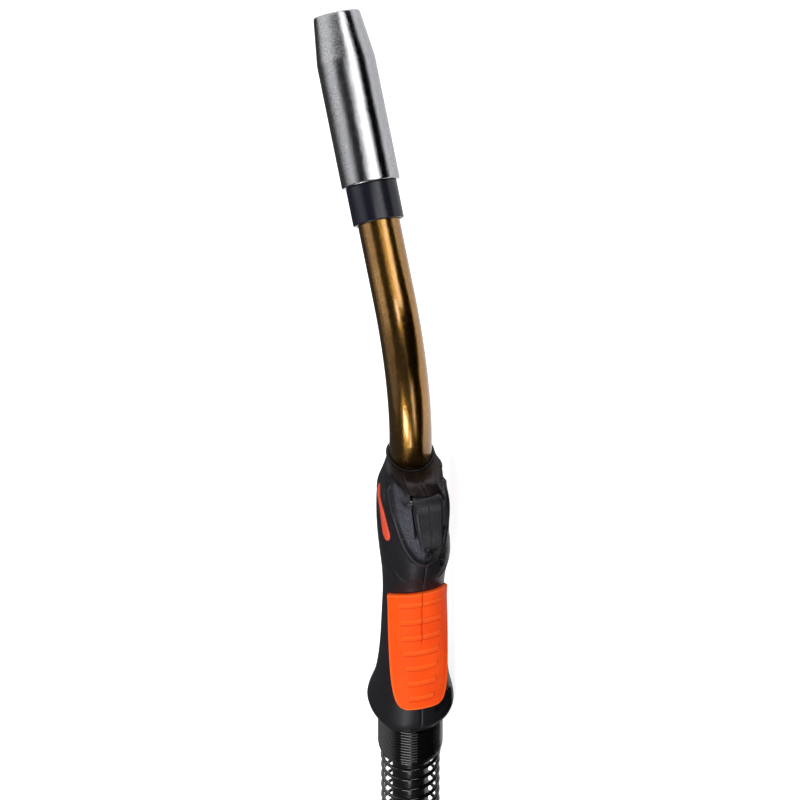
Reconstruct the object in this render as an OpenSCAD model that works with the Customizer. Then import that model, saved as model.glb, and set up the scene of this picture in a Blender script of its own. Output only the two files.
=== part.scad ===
// MIG welding torch: a two-shell handle with soft grip pads, a bent brass neck with a chromed gas
// nozzle, a lead of three metres laid in a coil, and a central connector at the lead's end.
//
// Every module builds in torch coordinates: X runs along the handle axis with the rear rim at X = 0,
// the trigger faces -Y, the neck bends towards +Y, and the torch lies on its right flank, Z up.
// place() then moves it so that the bench is Z = 0 under the middle of the torch.

/* [Handle] */
// Length of the handle shells, rear rim to neck opening
handle_len = 160; // [154:1:172]
// Half width at the rear flare, on which the torch lies
flare_half = 18.9; // [17.5:0.1:20.5]
// Half width at the waist
waist_half = 13.2; // [12.5:0.1:14.5]
// Half width at the head
head_half = 16.2; // [15.5:0.1:18]
// Depth from the axis to the front of the grip
grip_front = 18.5; // [17.5:0.1:20]
// Depth from the axis to the front of the head, below the trigger
head_front = 27.8; // [26.5:0.1:29]
// Depth from the axis to the top of the hood above the trigger
hood_front = 29.2; // [28:0.1:31]
// Depth from the axis to the back of the waist
waist_back = 9.5; // [9:0.1:11]
// Depth from the axis to the back of the head
head_back = 14; // [13.5:0.1:16]
// Wall of the handle shells
shell_wall = 2.4; // [1.8:0.1:2.8]
// Wall left round the neck tube at the nose of the handle
nose_wall = 1.4; // [1.2:0.1:2]

/* [Grip pads] */
// Thickness of the soft grip pads
pad_thick = 1.1; // [0.8:0.1:1.6]
// Where the pads start, from the rear rim
pad_start = 19.5; // [16:0.5:24]
// Where the pads end at the front, from the rear rim
pad_end = 91.2; // [82:0.2:96]
// How far the pads' forward edge draws back towards the flanks
pad_curve = 7; // [0:0.5:9]
// How far round the front each pad reaches, in degrees
pad_wrap = 70; // [60:1:84]
// Number of raised grip ribs
rib_count = 7; // [4:1:8]
// Height of the raised grip ribs
rib_rise = 0.7; // [0.4:0.1:1.2]
// Width of a grip rib along the handle
rib_width = 2.2; // [1.6:0.1:3]

/* [Trigger and switch] */
// Width of the trigger at its hinge
trigger_w = 12.4; // [10:0.2:13]
// Width of the trigger at its free end
trigger_tip_w = 8.8; // [7:0.2:10]
// Distance of the trigger's pivot from the neck end of the shells
pivot_back = 9; // [8:0.5:11]
// Depth of the trigger's pivot from the axis
pivot_front = 24.6; // [24:0.1:25.5]
// Reach of the trigger from the pivot to its free end
trigger_reach = 19; // [17:0.5:21]
// Depth from the axis to the free end of the trigger
trigger_front = 37; // [35:0.5:39]
// Diameter of the trigger's hinge pin
pin_d = 3; // [2.4:0.1:3.6]
// Travel of the trigger in degrees
trigger_travel = 8; // [4:0.5:9]

/* [Neck] */
// Outer diameter of the neck tube
neck_d = 18.6; // [17:0.1:19]
// Wall of the neck tube
neck_wall = 1.6; // [1.2:0.1:2]
// Angle through which the neck bends
neck_bend = 50; // [30:1:60]
// Radius of the neck's centre line
neck_bend_r = 77; // [65:1:90]
// Straight neck between the shells and the bend
neck_lead = 5; // [3:0.5:12]
// Straight neck between the bend and the insulator
neck_front = 33.8; // [28:0.5:45]

/* [Nozzle] */
// Outer diameter of the gas nozzle
nozzle_d = 25.8; // [24.5:0.1:28]
// Diameter of the nozzle's mouth end
nozzle_tip_d = 20.8; // [19.5:0.1:22]
// Length of the nozzle
nozzle_len = 76; // [68:1:84]
// Length of the tapered part of the nozzle
nozzle_taper = 21; // [15:1:28]
// Wall of the nozzle
nozzle_wall = 1.6; // [1.2:0.1:1.8]
// Diameter of the insulator behind the nozzle
insulator_d = 22.5; // [21.8:0.1:22.8]
// Length of the insulator that shows behind the nozzle
insulator_show = 17; // [12:0.5:22]
// Diameter of the contact tip
tip_d = 8; // [7:0.5:9]
// Bore of the contact tip
tip_bore = 1.4; // [1:0.1:1.8]
// How far the contact tip ends inside the nozzle
tip_recess = 5; // [4:0.5:8]
// How far the nozzle pulls off its insulator
nozzle_pull = 40; // [20:1:60]

/* [Support spring] */
// Outer diameter of the support spring at the handle
spring_d = 28.9; // [27.5:0.1:29.2]
// Outer diameter of the support spring along its open curls
spring_open_d = 26.2; // [24.8:0.1:26.6]
// Diameter of the spring wire
spring_wire = 1.6; // [1.4:0.1:1.7]
// Number of close curls at the handle
close_curls = 11; // [6:1:14]
// Rise of a close curl
close_pitch = 1.85; // [1.85:0.05:2.4]
// Number of open curls
open_curls = 14; // [10:1:16]
// Rise of an open curl
open_pitch = 6.2; // [5:0.1:6.6]

/* [Lead] */
// Diameter of the lead
lead_d = 16; // [14:0.5:16]
// Diameter of the stripped lead inside the handle
core_d = 10; // [9:0.5:11]
// Radius of the coil's outermost turn
coil_r = 114; // [108:1:122]
// Number of turns in the coil
coil_turns = 4.5; // [4.5:1:5.5]
// Sideways step from turn to turn
coil_step = 16.6; // [16.6:0.1:18]
// Rise from the lower to the upper layer
coil_rise = 16.6; // [16.6:0.1:18]
// Thickness of the ties round the coil
tie_thick = 1.2; // [0.8:0.1:1.6]
// Width of the ties round the coil
tie_w = 12; // [8:1:20]

/* [Connector] */
// Outer diameter of the connector's union nut
nut_d = 48; // [46:1:54]
// Length of the union nut
nut_len = 24; // [20:1:28]
// Outer diameter of the connector's shells
plug_d = 40; // [38:0.5:42]
// Length of the connector's shells
plug_len = 52; // [46:1:60]
// Wall of the connector's shells
plug_wall = 2.4; // [1.8:0.1:3]
// Length of the boot in which the lead enters the connector
boot_len = 46; // [36:1:60]
// Diameter of the power pin
power_d = 17; // [15:0.5:18]
// How far the power pin stands out of the connector's face
power_len = 26; // [20:1:32]
// Diameter of the two spring-loaded contact pins
contact_d = 4; // [3:0.5:5]
// Travel of the contact pins
contact_travel = 3; // [1:0.5:4]

/* [Fits] */
// Gap between pieces that are assembled face to face
fit = 0.15; // [0.1:0.05:0.25]
// Radial gap of a turning or sliding fit
running = 0.05; // [0.03:0.01:0.08]

/* [Hidden] */
$fn = 64;

neck_r = neck_d / 2;
nose_half = neck_r + nose_wall;
rim_half = spring_d / 2;
cable_r = lead_d / 2;
core_r = core_d / 2;
pin_r = pin_d / 2;

// Handle outline -----------------------------------------------------------------------------------

function mix(a, b, t) = a + (b - a) * t;

// Stations along the handle: share of its length, front depth, back depth and half width
flare_step = mix(rim_half, flare_half, 0.7);
stations = [
    [0, rim_half, rim_half, rim_half],
    [0.03, flare_step, flare_step, flare_step],
    [0.0625, flare_half, flare_half, flare_half],
    [0.16, flare_half, mix(flare_half, waist_back, 0.57), mix(flare_half, waist_half, 0.49)],
    [0.27, grip_front, mix(flare_half, waist_back, 0.93), mix(flare_half, waist_half, 0.75)],
    [0.425, grip_front, waist_back, mix(flare_half, waist_half, 0.94)],
    [0.5, grip_front, waist_back, waist_half],
    [0.575, mix(grip_front, head_front, 0.17), mix(waist_back, head_back, 0.16),
        mix(waist_half, head_half, 0.16)],
    [0.65, mix(grip_front, head_front, 0.6), mix(waist_back, head_back, 0.45),
        mix(waist_half, head_half, 0.58)],
    [0.725, mix(grip_front, head_front, 0.88), mix(waist_back, head_back, 0.8),
        mix(waist_half, head_half, 0.9)],
    [0.8, head_front, head_back, head_half],
    [0.875, mix(head_front, hood_front, 0.6), mix(head_back, nose_half, 0.12),
        mix(head_half, nose_half, 0.08)],
    [0.925, hood_front, mix(head_back, nose_half, 0.53), mix(head_half, nose_half, 0.49)],
    [0.97, mix(hood_front, nose_half, 0.03), mix(head_back, nose_half, 0.82),
        mix(head_half, nose_half, 0.86)],
    [0.985, mix(hood_front, nose_half, 0.35), mix(head_back, nose_half, 0.94),
        mix(head_half, nose_half, 0.95)],
    [1, nose_half, nose_half, nose_half]];
last_station = len(stations) - 1;
// Roundness of the handle's sections: 2 is an ellipse
section_power = 2.2;

function slope(i, k) = i <= 0 || i >= last_station ? 0
    : (stations[i + 1][k] - stations[i - 1][k]) / (stations[i + 1][0] - stations[i - 1][0]);
function station_before(t) = max([for (i = [0:last_station - 1]) if (stations[i][0] <= t) i]);
// Column k of the outline at share t of the length, on a cubic through the stations
function outline_at(t, k) = let (i = station_before(t), a = stations[i], b = stations[i + 1],
        d = b[0] - a[0], s = (t - a[0]) / d, s2 = s * s, s3 = s2 * s)
    a[k] * (2 * s3 - 3 * s2 + 1) + b[k] * (3 * s2 - 2 * s3)
    + d * (slope(i, k) * (s3 - 2 * s2 + s) + slope(i + 1, k) * (s3 - s2));

function bend_power(v) = sign(v) * pow(abs(v), 2 / section_power);
// Point of a section with given front, back and half width, at an angle from the front
function section_point(x, front, back, half, angle) = [x,
    -((front - back) / 2 + (front + back) / 2 * bend_power(cos(angle))),
    half * bend_power(sin(angle))];
// Point on the handle, proud of its surface by rise
function skin_point(x, angle, rise) = let (t = min(x / handle_len, 1))
    section_point(x, outline_at(t, 1) + rise, outline_at(t, 2) + rise, outline_at(t, 3) + rise, angle);
// Point on the inner face of the shells, which leaves enough at the nose for the neck's bore
function inner_point(x, angle) = let (t = min(x / handle_len, 1), least = x < neck_root ? 0 : neck_r - 0.6,
        inner = [for (k = [1:3]) max(outline_at(t, k) - shell_wall, least)])
    section_point(x, inner[0], inner[1], inner[2], angle);
// Half width of the handle at distance x and depth f towards the front
function flank_at(x, f) = let (t = x / handle_len, front = outline_at(t, 1), back = outline_at(t, 2),
        middle = (front - back) / 2, share = abs((f - middle) / ((front + back) / 2)))
    outline_at(t, 3) * pow(max(0, 1 - pow(share, section_power)), 1 / section_power);

// Solids from rings --------------------------------------------------------------------------------

// Closed solid through rings of equal count; strip caps join outer points to inner points across
module ring_solid(rings, strip_caps = false) {
    m = len(rings[0]);
    last = len(rings) - 1;
    half = m / 2;
    sides = [for (i = [0:last - 1], j = [0:m - 1]) each
        [[i * m + j, (i + 1) * m + (j + 1) % m, i * m + (j + 1) % m],
         [i * m + j, (i + 1) * m + j, (i + 1) * m + (j + 1) % m]]];
    fans = [for (j = [1:m - 2]) each
        [[0, j, j + 1], [last * m, last * m + j + 1, last * m + j]]];
    strips = [for (j = [0:half - 2]) each
        [[j, j + 1, m - 1 - j], [j + 1, m - 2 - j, m - 1 - j],
         [last * m + j, last * m + m - 1 - j, last * m + j + 1],
         [last * m + j + 1, last * m + m - 1 - j, last * m + m - 2 - j]]];
    polyhedron(points = [for (r = rings) each r], faces = concat(sides, strip_caps ? strips : fans));
}

// Closed tube with a bore, through outer rings and inner rings of equal count
module hollow_solid(outer, inner) {
    m = len(outer[0]);
    last = len(outer) - 1;
    n = m * (last + 1);
    walls = [for (i = [0:last - 1], j = [0:m - 1]) let (k = (j + 1) % m, a = i * m, b = (i + 1) * m) each
        [[a + j, b + k, a + k], [a + j, b + j, b + k],
         [n + a + j, n + a + k, n + b + k], [n + a + j, n + b + k, n + b + j]]];
    ends = [for (j = [0:m - 1]) let (k = (j + 1) % m, b = last * m) each
        [[j, k, n + j], [k, n + k, n + j], [b + j, n + b + j, b + k], [b + k, n + b + j, n + b + k]]];
    polyhedron(points = [for (r = concat(outer, inner)) each r], faces = concat(walls, ends));
}

function unit(v) = v / norm(v);
function tangent(p, i) = unit(p[min(i + 1, len(p) - 1)] - p[max(i - 1, 0)]);
// Ring of a tube round point c, square to direction d, with its first corner towards up
function tube_ring(c, d, up, r, sides) = let (a = unit(up - (up * d) * d), b = cross(d, a))
    [for (j = [0:sides - 1]) c + r * (cos(360 * j / sides) * a + sin(360 * j / sides) * b)];
function tube_rings(p, ups, r, sides) = [for (i = [0:len(p) - 1])
    tube_ring(p[i], tangent(p, i), ups[i], r, sides)];
function same_up(p, up) = [for (q = p) up];
// Least distance between corners of rings that lie at least apart rings from each other
function least_gap(rings, apart, reach) = min([for (i = [0:len(rings) - 1 - apart],
    j = [i + apart:min(len(rings) - 1, i + apart + reach)], a = rings[i], b = rings[j]) norm(a - b)]);

module tube_solid(p, ups, r, sides) ring_solid(tube_rings(p, ups, r, sides));

// Revolved solid about X from [x, r] points
module turned_along_x(points) rotate([0, 90, 0]) rotate_extrude()
    polygon([for (q = points) [q[1], q[0]]]);
module rod(x0, x1, r) translate([x0, 0, 0]) rotate([0, 90, 0]) cylinder(r = r, h = x1 - x0);
module pipe(x0, x1, r, bore) difference() {
    rod(x0, x1, r);
    rod(x0 - 1, x1 + 1, bore);
}

// Lead, coil and connector places ------------------------------------------------------------------

// Middle of the lower and upper layers of the coil above the bench
low_z = tie_thick + 0.1 + cable_r;
high_z = low_z + coil_rise;
// The coil's middle, in torch coordinates
coil_x = -185;
coil_y = -coil_r;
end_run = lead_d;
plug_x = -80;
plug_y = 2 * coil_y;
plug_z = nut_d / 2;
// Heights above the bench of the lead between handle and coil, and between coil and connector
run_route = [[12, flare_half], [-10, flare_half], [-35, flare_half], [-60, flare_half], [-85, flare_half],
    [-105, flare_half], [-120, 18.1], [-135, 15.5], [-148, 11.9], [-157, low_z + 0.4], [-163, low_z],
    [coil_x + end_run, low_z]];
tail_route = [[coil_x + end_run, high_z], [-163, high_z], [-150, 25.3], [-135, 24.4], [-120, 23.6],
    [-105, 23.3], [-92, plug_z - 0.2], [plug_x - 2, plug_z], [plug_x + 20, plug_z]];

// The torch's own box, from the spring's end to the nozzle's mouth
spring_len = fit + spring_wire + close_curls * close_pitch + open_curls * open_pitch;
bend_start = handle_len + neck_lead;
front_x = bend_start + neck_bend_r * sin(neck_bend) + neck_front * cos(neck_bend);
front_y = neck_bend_r * (1 - cos(neck_bend)) + neck_front * sin(neck_bend);
mouth_along = insulator_show + nozzle_len;
rim_round = 0.8;
mouth_rim_r = nozzle_tip_d / 2 - rim_round;
mouth_x = front_x + mouth_along * cos(neck_bend) + mouth_rim_r * sin(neck_bend);
mouth_y = front_y + mouth_along * sin(neck_bend) + mouth_rim_r * cos(neck_bend);
origin_x = (mouth_x - spring_len) / 2;
origin_y = (mouth_y - trigger_front) / 2;

module place() translate([-origin_x, -origin_y, flare_half]) children();
module on_bench() translate([-origin_x, -origin_y, 0]) children();
// Frame at the front end of the neck, with X along it
module at_front() place() translate([front_x, front_y, 0]) rotate([0, 0, neck_bend]) children();
// Frame of the connector, with X from the boot to the power pin
module at_plug() on_bench() translate([plug_x, plug_y, plug_z]) children();

// Neck ---------------------------------------------------------------------------------------------

neck_root = handle_len - 28;

// Middle line of the neck from x0 inside the handle to s1 beyond the neck's front end
bend_steps = 10;
function neck_line(x0, s1) = concat([[x0, 0, 0], [bend_start, 0, 0]],
    [for (i = [1:bend_steps - 1]) let (a = neck_bend * i / bend_steps)
        [bend_start + neck_bend_r * sin(a), neck_bend_r * (1 - cos(a)), 0]],
    [for (d = [-neck_front, s1]) [front_x + d * cos(neck_bend), front_y + d * sin(neck_bend), 0]]);
// Directions of the rings along that line, so that its straight ends keep their size
neck_turns = concat([0, 0], [for (i = [1:bend_steps - 1]) neck_bend * i / bend_steps],
    [neck_bend, neck_bend]);
function neck_rings(x0, s1, r, sides) = let (line = neck_line(x0, s1)) [for (i = [0:len(line) - 1])
    tube_ring(line[i], [cos(neck_turns[i]), sin(neck_turns[i]), 0], [0, 0, 1], r, sides)];
module neck_path(x0, s1, r, bore, sides)
    hollow_solid(neck_rings(x0, s1, r, sides), neck_rings(x0, s1, bore, sides));

neck_sides = 28;
inner_sides = 12;
flat = cos(180 / inner_sides);
insulation_r = (neck_r - neck_wall) * cos(180 / neck_sides) - running;
insulation_bore = insulation_r - 0.7;
conductor_r = insulation_bore * flat - running;
liner_r = 2.4;
liner_bore = 1.1;
conductor_bore = (liner_r + 0.5) / flat;
socket_depth = 14;

module neck_tube() color("goldenrod") place()
    neck_path(neck_root, socket_depth, neck_r, neck_r - neck_wall, neck_sides);
module neck_insulation() color("ivory") place()
    neck_path(neck_root, socket_depth - 2, insulation_r, insulation_bore, inner_sides);
module neck_conductor() color("peru") place()
    neck_path(neck_root, socket_depth, conductor_r, conductor_bore, inner_sides);
module wire_liner() color("silver") place()
    neck_path(core_start, holder_back, liner_r, liner_bore, inner_sides);
collar_x = handle_len + fit;
module neck_collar() color("black") place() difference() {
    turned_along_x([[collar_x, 0], [collar_x, nose_half], [collar_x + 0.7, nose_half],
        [collar_x + 1.1, nose_half - 0.4], [collar_x + 1.1, 0]]);
    rod(handle_len - 1, handle_len + 5, neck_r + running);
}

// Power path inside the handle ---------------------------------------------------------------------

bush_end = 11;
core_start = bush_end + 1 + fit;
crimp_start = neck_root - 50;
block_start = neck_root - 34;
nut_start = neck_root - 6;
nut_end = neck_root + 5;
core_seat = 15;
liner_room = liner_r + 0.3;

module neck_nut() color("goldenrod") place() difference() {
    translate([nut_start, 0, 0]) rotate([0, 90, 0]) rotate([0, 0, 30])
        cylinder(r = neck_r + 1.7, h = nut_end - nut_start, $fn = 6);
    rod(nut_start - 1, nut_end + 1, neck_r + running);
}
module power_block() color("goldenrod") place() difference() {
    union() {
        rod(block_start, neck_root - 12, neck_r - 1.2);
        rod(neck_root - 12, neck_root - fit, neck_r);
    }
    rod(block_start - 1, neck_root, liner_room);
    rod(block_start - 1, block_start + core_seat, core_r + running);
}
module cable_crimp() color("peru") place()
    pipe(crimp_start, block_start - fit, core_r + 1.6, core_r + running);
module cable_core() color("black") place() pipe(core_start, block_start + core_seat - 1, core_r, liner_room);

// Handle shells ------------------------------------------------------------------------------------

shell_steps = [for (i = [0:last_station - 1]) each
    [stations[i][0], mix(stations[i][0], stations[i + 1][0], 0.5)]];
shell_x = concat([for (t = shell_steps) t * handle_len], [handle_len]);
shell_rings = [for (x = shell_x) concat([for (a = [180:-15:0]) skin_point(x, a, 0)],
    [for (a = [0:15:180]) inner_point(x, a)])];

// Screw places: distance from the rear rim and depth towards the front
screw_places = [[0.1125 * handle_len, flare_half - 6.2], [0.619 * handle_len, 13],
    [0.744 * handle_len, 15.5]];
screw_r = 1.5;
screw_room = 0.1;
screw_head_r = 2.7;
head_room = 0.3;
boss_r = 3.6;
seat_z = 6.5;
// A boss runs from the parting plane into the wall
function boss_top(p) = flank_at(p[0], p[1] + boss_r) - 0.4;

pivot_x = handle_len - pivot_back;
slot_back = pivot_x - trigger_reach - 2.5;
slot_front = handle_len - 4.6;
slot_depth = 11.5;
slot_half = trigger_w / 2 + 0.4;
beyond = 60;

// The right shell takes the screws' heads, and the left one their ends
module half_shell(headed) {
    shell_body(headed);
    // Ribs that hold the switch
    for (x = [switch_x0 + 1, switch_x1 - 6]) translate([x, -switch_front, switch_half + fit])
        cube([2, switch_front - switch_back,
            flank_at(x, switch_front) - shell_wall / 2 - switch_half - fit]);
}
module shell_body(headed) difference() {
    union() {
        ring_solid(shell_rings, true);
        for (p = screw_places) translate([p[0], -p[1], 0]) cylinder(r = boss_r, h = boss_top(p));
    }
    for (p = screw_places) translate([p[0], -p[1], -1]) {
        cylinder(r = screw_r + screw_room, h = seat_z + 1.4);
        if (headed) translate([0, 0, seat_z + 1]) cylinder(r = screw_head_r + head_room, h = 20);
    }
    translate([slot_back, -beyond, -1]) cube([slot_front - slot_back, beyond - slot_depth, 1 + slot_half]);
    translate([pivot_x, -pivot_front, -1]) cylinder(r = pin_r, h = 1 + pin_half + fit);
    rod(neck_root - 1, handle_len + 1, neck_r + fit);
}
module handle_left() color("dimgray") place() half_shell(false);
module handle_right() color("dimgray") place() mirror([0, 0, 1]) half_shell(true);

screw_head_h = 2;
module handle_screws() color("silver") place() for (p = screw_places) translate([p[0], -p[1], 0]) {
    translate([0, 0, -seat_z]) cylinder(r = screw_r, h = 2 * seat_z - 0.3);
    difference() {
        translate([0, 0, -seat_z - screw_head_h]) cylinder(r = screw_head_r, h = screw_head_h);
        translate([-2, -0.4, -seat_z - screw_head_h - 0.5]) cube([4, 0.8, 1.3]);
    }
}

// Grip pads ----------------------------------------------------------------------------------------

pad_seat = 0.2;
pad_cols = 8;
rib_start = pad_start + 6.4;
rib_pitch = (pad_end - 10 - rib_start) / (rib_count - 1);
rib_angle = 42;
pad_x = concat([0, 0.4, 1.2, 3], [for (i = [0:rib_count - 1], e = [-1, -0.7, 0.7, 1])
    rib_start - pad_start + i * rib_pitch + e * rib_width / 2],
    [for (d = [6, 2, 0]) pad_end - pad_start - d]);
function is_rib(x) = max([for (i = [0:rib_count - 1])
    abs(x + pad_start - rib_start - i * rib_pitch) < rib_width * 0.4 ? 1 : 0]);
// The pad narrows slowly towards its round rear end
function pad_reach(x) = pad_wrap * pow(max(0.004, x / (pad_end - pad_start)), 0.21);
// Its forward edge draws back with the angle, and the ribs with it
function pad_place(x, a) = pad_start + x * (1 - pad_curve * pow(a / pad_wrap, 2) / (pad_end - pad_start));
function pad_rise(x, a) = pad_seat + pad_thick + (a < rib_angle ? rib_rise * is_rib(x) : 0);
function pad_point(x, c, rise) = let (a = pad_reach(x) * c / pad_cols) skin_point(pad_place(x, a), a, rise);
pad_rings = [for (x = pad_x) concat(
    [for (c = [pad_cols:-1:0]) pad_point(x, c, pad_rise(x, pad_reach(x) * c / pad_cols))],
    [for (c = [0:pad_cols]) pad_point(x, c, pad_seat)])];

module grip_pad_left() color("orangered") place() ring_solid(pad_rings, true);
module grip_pad_right() color("orangered") place() mirror([0, 0, 1]) ring_solid(pad_rings, true);

// Label inlays -------------------------------------------------------------------------------------

inlay_seat = 0.25;
inlay_rise = 0.5;
// The inlay's middle line: share of the handle's length, angle from the front, and half width there
inlay_line = [[0.904, 103, 0.5], [0.898, 98, 0.9], [0.885, 91.5, 1.3], [0.87, 85.5, 1.8], [0.854, 80.5, 2.2],
    [0.835, 76, 2.6], [0.815, 72.5, 2.9], [0.795, 69.3, 3.1], [0.783, 67.6, 2.95],
    [0.776, 66.6, 2.45], [0.77, 65.8, 1.6], [0.7675, 65.4, 0.8]];
// Across the line a millimetre is this far along the handle and this many degrees round it
inlay_lean = [0.44, -3.2];
function inlay_point(q, e, rise) = skin_point(q[0] * handle_len + q[2] * e * inlay_lean[0],
    q[1] + q[2] * e * inlay_lean[1], rise);
inlay_rings = [for (q = inlay_line) concat(
    [for (e = [-1, -0.5, 0, 0.5, 1]) inlay_point(q, e, inlay_seat)],
    [for (e = [1, 0.5, 0, -0.5, -1]) inlay_point(q, e, inlay_seat + inlay_rise)])];
module label_inlay_left() color("orangered") place() ring_solid(inlay_rings, true);
module label_inlay_right() color("orangered") place() mirror([0, 0, 1]) ring_solid(inlay_rings, true);

// Trigger and switch -------------------------------------------------------------------------------

tip_x = pivot_x - trigger_reach;
pin_half = trigger_w / 2 + 1.5;
plunger_x = pivot_x - 13.5;
switch_half = 3.2;
switch_front = 19;
switch_back = 12.6;
plunger_top = switch_front + 3;
nub_front = plunger_top + 0.3;
switch_x0 = plunger_x - 5;
switch_x1 = plunger_x + 13;
knuckle_r = pin_r + 1.9;

// Side outline of the trigger in X and depth
trigger_side = [[pivot_x + 3.6, pivot_front + 2.4], [pivot_x + 3, pivot_front + 4.2],
    [pivot_x + 1.4, pivot_front + 5.2], [tip_x + 1.5, trigger_front], [tip_x, trigger_front - 0.6],
    [tip_x - 0.4, trigger_front - 2], [tip_x + 0.8, trigger_front - 4.2],
    [plunger_x - 2.6, trigger_front - 5.2], [plunger_x - 2, nub_front], [plunger_x + 2, nub_front],
    [plunger_x + 3, pivot_front + 2], [pivot_x - 2.4, pivot_front - 1.5]];
module trigger() color("dimgray") place() difference() {
    union() {
        translate([0, 0, -trigger_w / 2]) linear_extrude(trigger_w)
            polygon([for (q = trigger_side) [q[0], -q[1]]]);
        translate([pivot_x, -pivot_front, -trigger_w / 2]) cylinder(r = knuckle_r, h = trigger_w);
    }
    for (side = [0, 1]) mirror([0, 0, side]) rotate([90, 0, 0])
        linear_extrude(60) polygon([[tip_x - 2, trigger_tip_w / 2], [tip_x + 6, trigger_tip_w / 2],
            [pivot_x - 3, trigger_w / 2], [pivot_x - 3, trigger_w], [tip_x - 2, trigger_w]]);
    translate([pivot_x, -pivot_front, -trigger_w]) cylinder(r = pin_r + running, h = 2 * trigger_w);
    // Room for the return spring round the pin
    translate([pivot_x, -pivot_front, -2.6]) cylinder(r = knuckle_r + 0.6, h = 5.2);
}
module trigger_pin() color("silver") place() translate([pivot_x, -pivot_front, -pin_half])
    cylinder(r = pin_r, h = 2 * pin_half);

return_wire = 0.7;
return_r = pin_r + running + return_wire / 2 + 0.3;
return_turns = 3;
return_points = [for (i = [0:8 * return_turns]) let (a = 45 * i)
    [pivot_x + return_r * cos(a), -pivot_front + return_r * sin(a), -2 + 4 * i / (8 * return_turns)]];
return_ups = [for (i = [0:8 * return_turns]) [cos(45 * i), sin(45 * i), 0]];
module trigger_spring() color("silver") place() tube_solid(return_points, return_ups, return_wire / 2, 6);

module switch_body() color("black") place() difference() {
    translate([switch_x0, -switch_front, -switch_half])
        cube([switch_x1 - switch_x0, switch_front - switch_back, 2 * switch_half]);
    translate([plunger_x, -switch_back - 3, 0]) rotate([90, 0, 0]) cylinder(r = 1.2 + running, h = 6);
}
module switch_plunger() color("orangered") place() translate([plunger_x, -switch_back - 3.4 - 2, 0])
    rotate([90, 0, 0]) cylinder(r = 1.2, h = plunger_top - switch_back - 5.4);
terminal_x = switch_x0 - 4;
terminal_z = 1.8;
module switch_terminals() color("goldenrod") place() for (side = [-1, 1])
    translate([terminal_x, -switch_front + 2.6, side * terminal_z - 0.4]) cube([4, 2.2, 0.8]);
// The wires pass in front of the two forward screw bosses
wire_points = [[terminal_x, -15.3], [terminal_x - 1.5, -15.3], [terminal_x - 4, -17.6],
    [terminal_x - 6, -20.6], [terminal_x - 9, -21.8], [terminal_x - 14, -21.6],
    [terminal_x - 22, -19.8], [terminal_x - 29, -18.7], [terminal_x - 35, -17],
    [terminal_x - 41, -12], [terminal_x - 47, -8.2]];
module control_wires() color("steelblue") place() for (side = [-1, 1])
    tube_solid([for (i = [0:len(wire_points) - 1]) let (q = wire_points[i])
        [q[0], q[1], side * (terminal_z - 0.05 * max(0, i - 1))]], same_up(wire_points, [0, 0, 1]), 0.7, 6);

// Support spring and bush --------------------------------------------------------------------------

curl_rings = 8;
spring_r = (spring_d - spring_wire) / 2;
spring_open_r = (spring_open_d - spring_wire) / 2;
// A curl is a polygon of eight sides, so the bush keeps inside its flats
spigot_r = spring_r * cos(180 / curl_rings) - spring_wire / 2 - fit;
spring_curls = close_curls + open_curls;
function curl_x(c) = -spring_wire / 2 - fit - (c <= close_curls ? c * close_pitch
    : close_curls * close_pitch + (c - close_curls) * open_pitch);
function curl_r(c) = mix(spring_r, spring_open_r, max(0, min(1, (c - close_curls + 2) / 4)));
function curl_point(c) = [curl_x(c), curl_r(c) * sin(360 * c), curl_r(c) * cos(360 * c)];
function curl_out(c) = [0, sin(360 * c), cos(360 * c)];
curl_steps = [for (i = [0:spring_curls * curl_rings]) i / curl_rings];
curl_inner = [for (c = curl_steps) curl_point(c)];
// The wire ends run straight for one diameter
spring_points = concat([curl_inner[0] - spring_wire * [0, 1, 0]], curl_inner,
    [curl_inner[len(curl_inner) - 1] + spring_wire * [0, 1, 0]]);
spring_ups = concat([curl_out(0)], [for (c = curl_steps) curl_out(c)], [curl_out(spring_curls)]);
module support_spring() color("black") place() {
    rings = tube_rings(spring_points, spring_ups, spring_wire / 2, 6);
    echo(support_spring_least_gap_mm = least_gap(rings, curl_rings - 1, 2));
    ring_solid(rings);
}
spigot_len = 15;
module spring_bush() color("black") place() difference() {
    turned_along_x([[-spigot_len, 0], [-spigot_len, spigot_r - 1], [-spigot_len + 1, spigot_r],
        [-fit, spigot_r], [-fit, rim_half - shell_wall - fit], [4.2, rim_half - shell_wall - fit],
        [4.2, rim_half - 0.9], [8, rim_half - 0.9], [8, cable_r + 1.5], [bush_end, cable_r + 1.5],
        [bush_end, 0]]);
    rod(-spigot_len - 1, 20, cable_r + running);
}

// Lead ---------------------------------------------------------------------------------------------

loop_rings = 24;
climb_turns = 0.5;
function coil_radius(t) = coil_r - coil_step * min(t, coil_turns - t);
function climb(t) = let (s = max(0, min(1, (t - coil_turns / 2) / climb_turns + 0.5))) s * s * (3 - 2 * s);
function coil_point(t) = let (a = 90 + 360 * t) [coil_x + coil_radius(t) * cos(a),
    coil_y + coil_radius(t) * sin(a), low_z + coil_rise * climb(t)];
coil_inner = [for (i = [0:coil_turns * loop_rings]) coil_point(i / loop_rings)];
coil_points = concat([[coil_x + end_run, 0, low_z]], coil_inner, [[coil_x + end_run, 2 * coil_y, high_z]]);
coil_sides = 6;
module cable_coil() color("black") on_bench() {
    rings = tube_rings(coil_points, same_up(coil_points, [0, 0, 1]), cable_r, coil_sides);
    echo(cable_coil_least_gap_mm = least_gap(rings, 12, 200));
    ring_solid(rings);
}
cable_sides = 12;
run_points = [for (q = run_route) [q[0], 0, q[1]]];
tail_points = [for (q = tail_route) [q[0], 2 * coil_y, q[1]]];
module cable_run() color("black") on_bench()
    tube_solid(run_points, same_up(run_points, [0, 0, 1]), cable_r, cable_sides);
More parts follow.
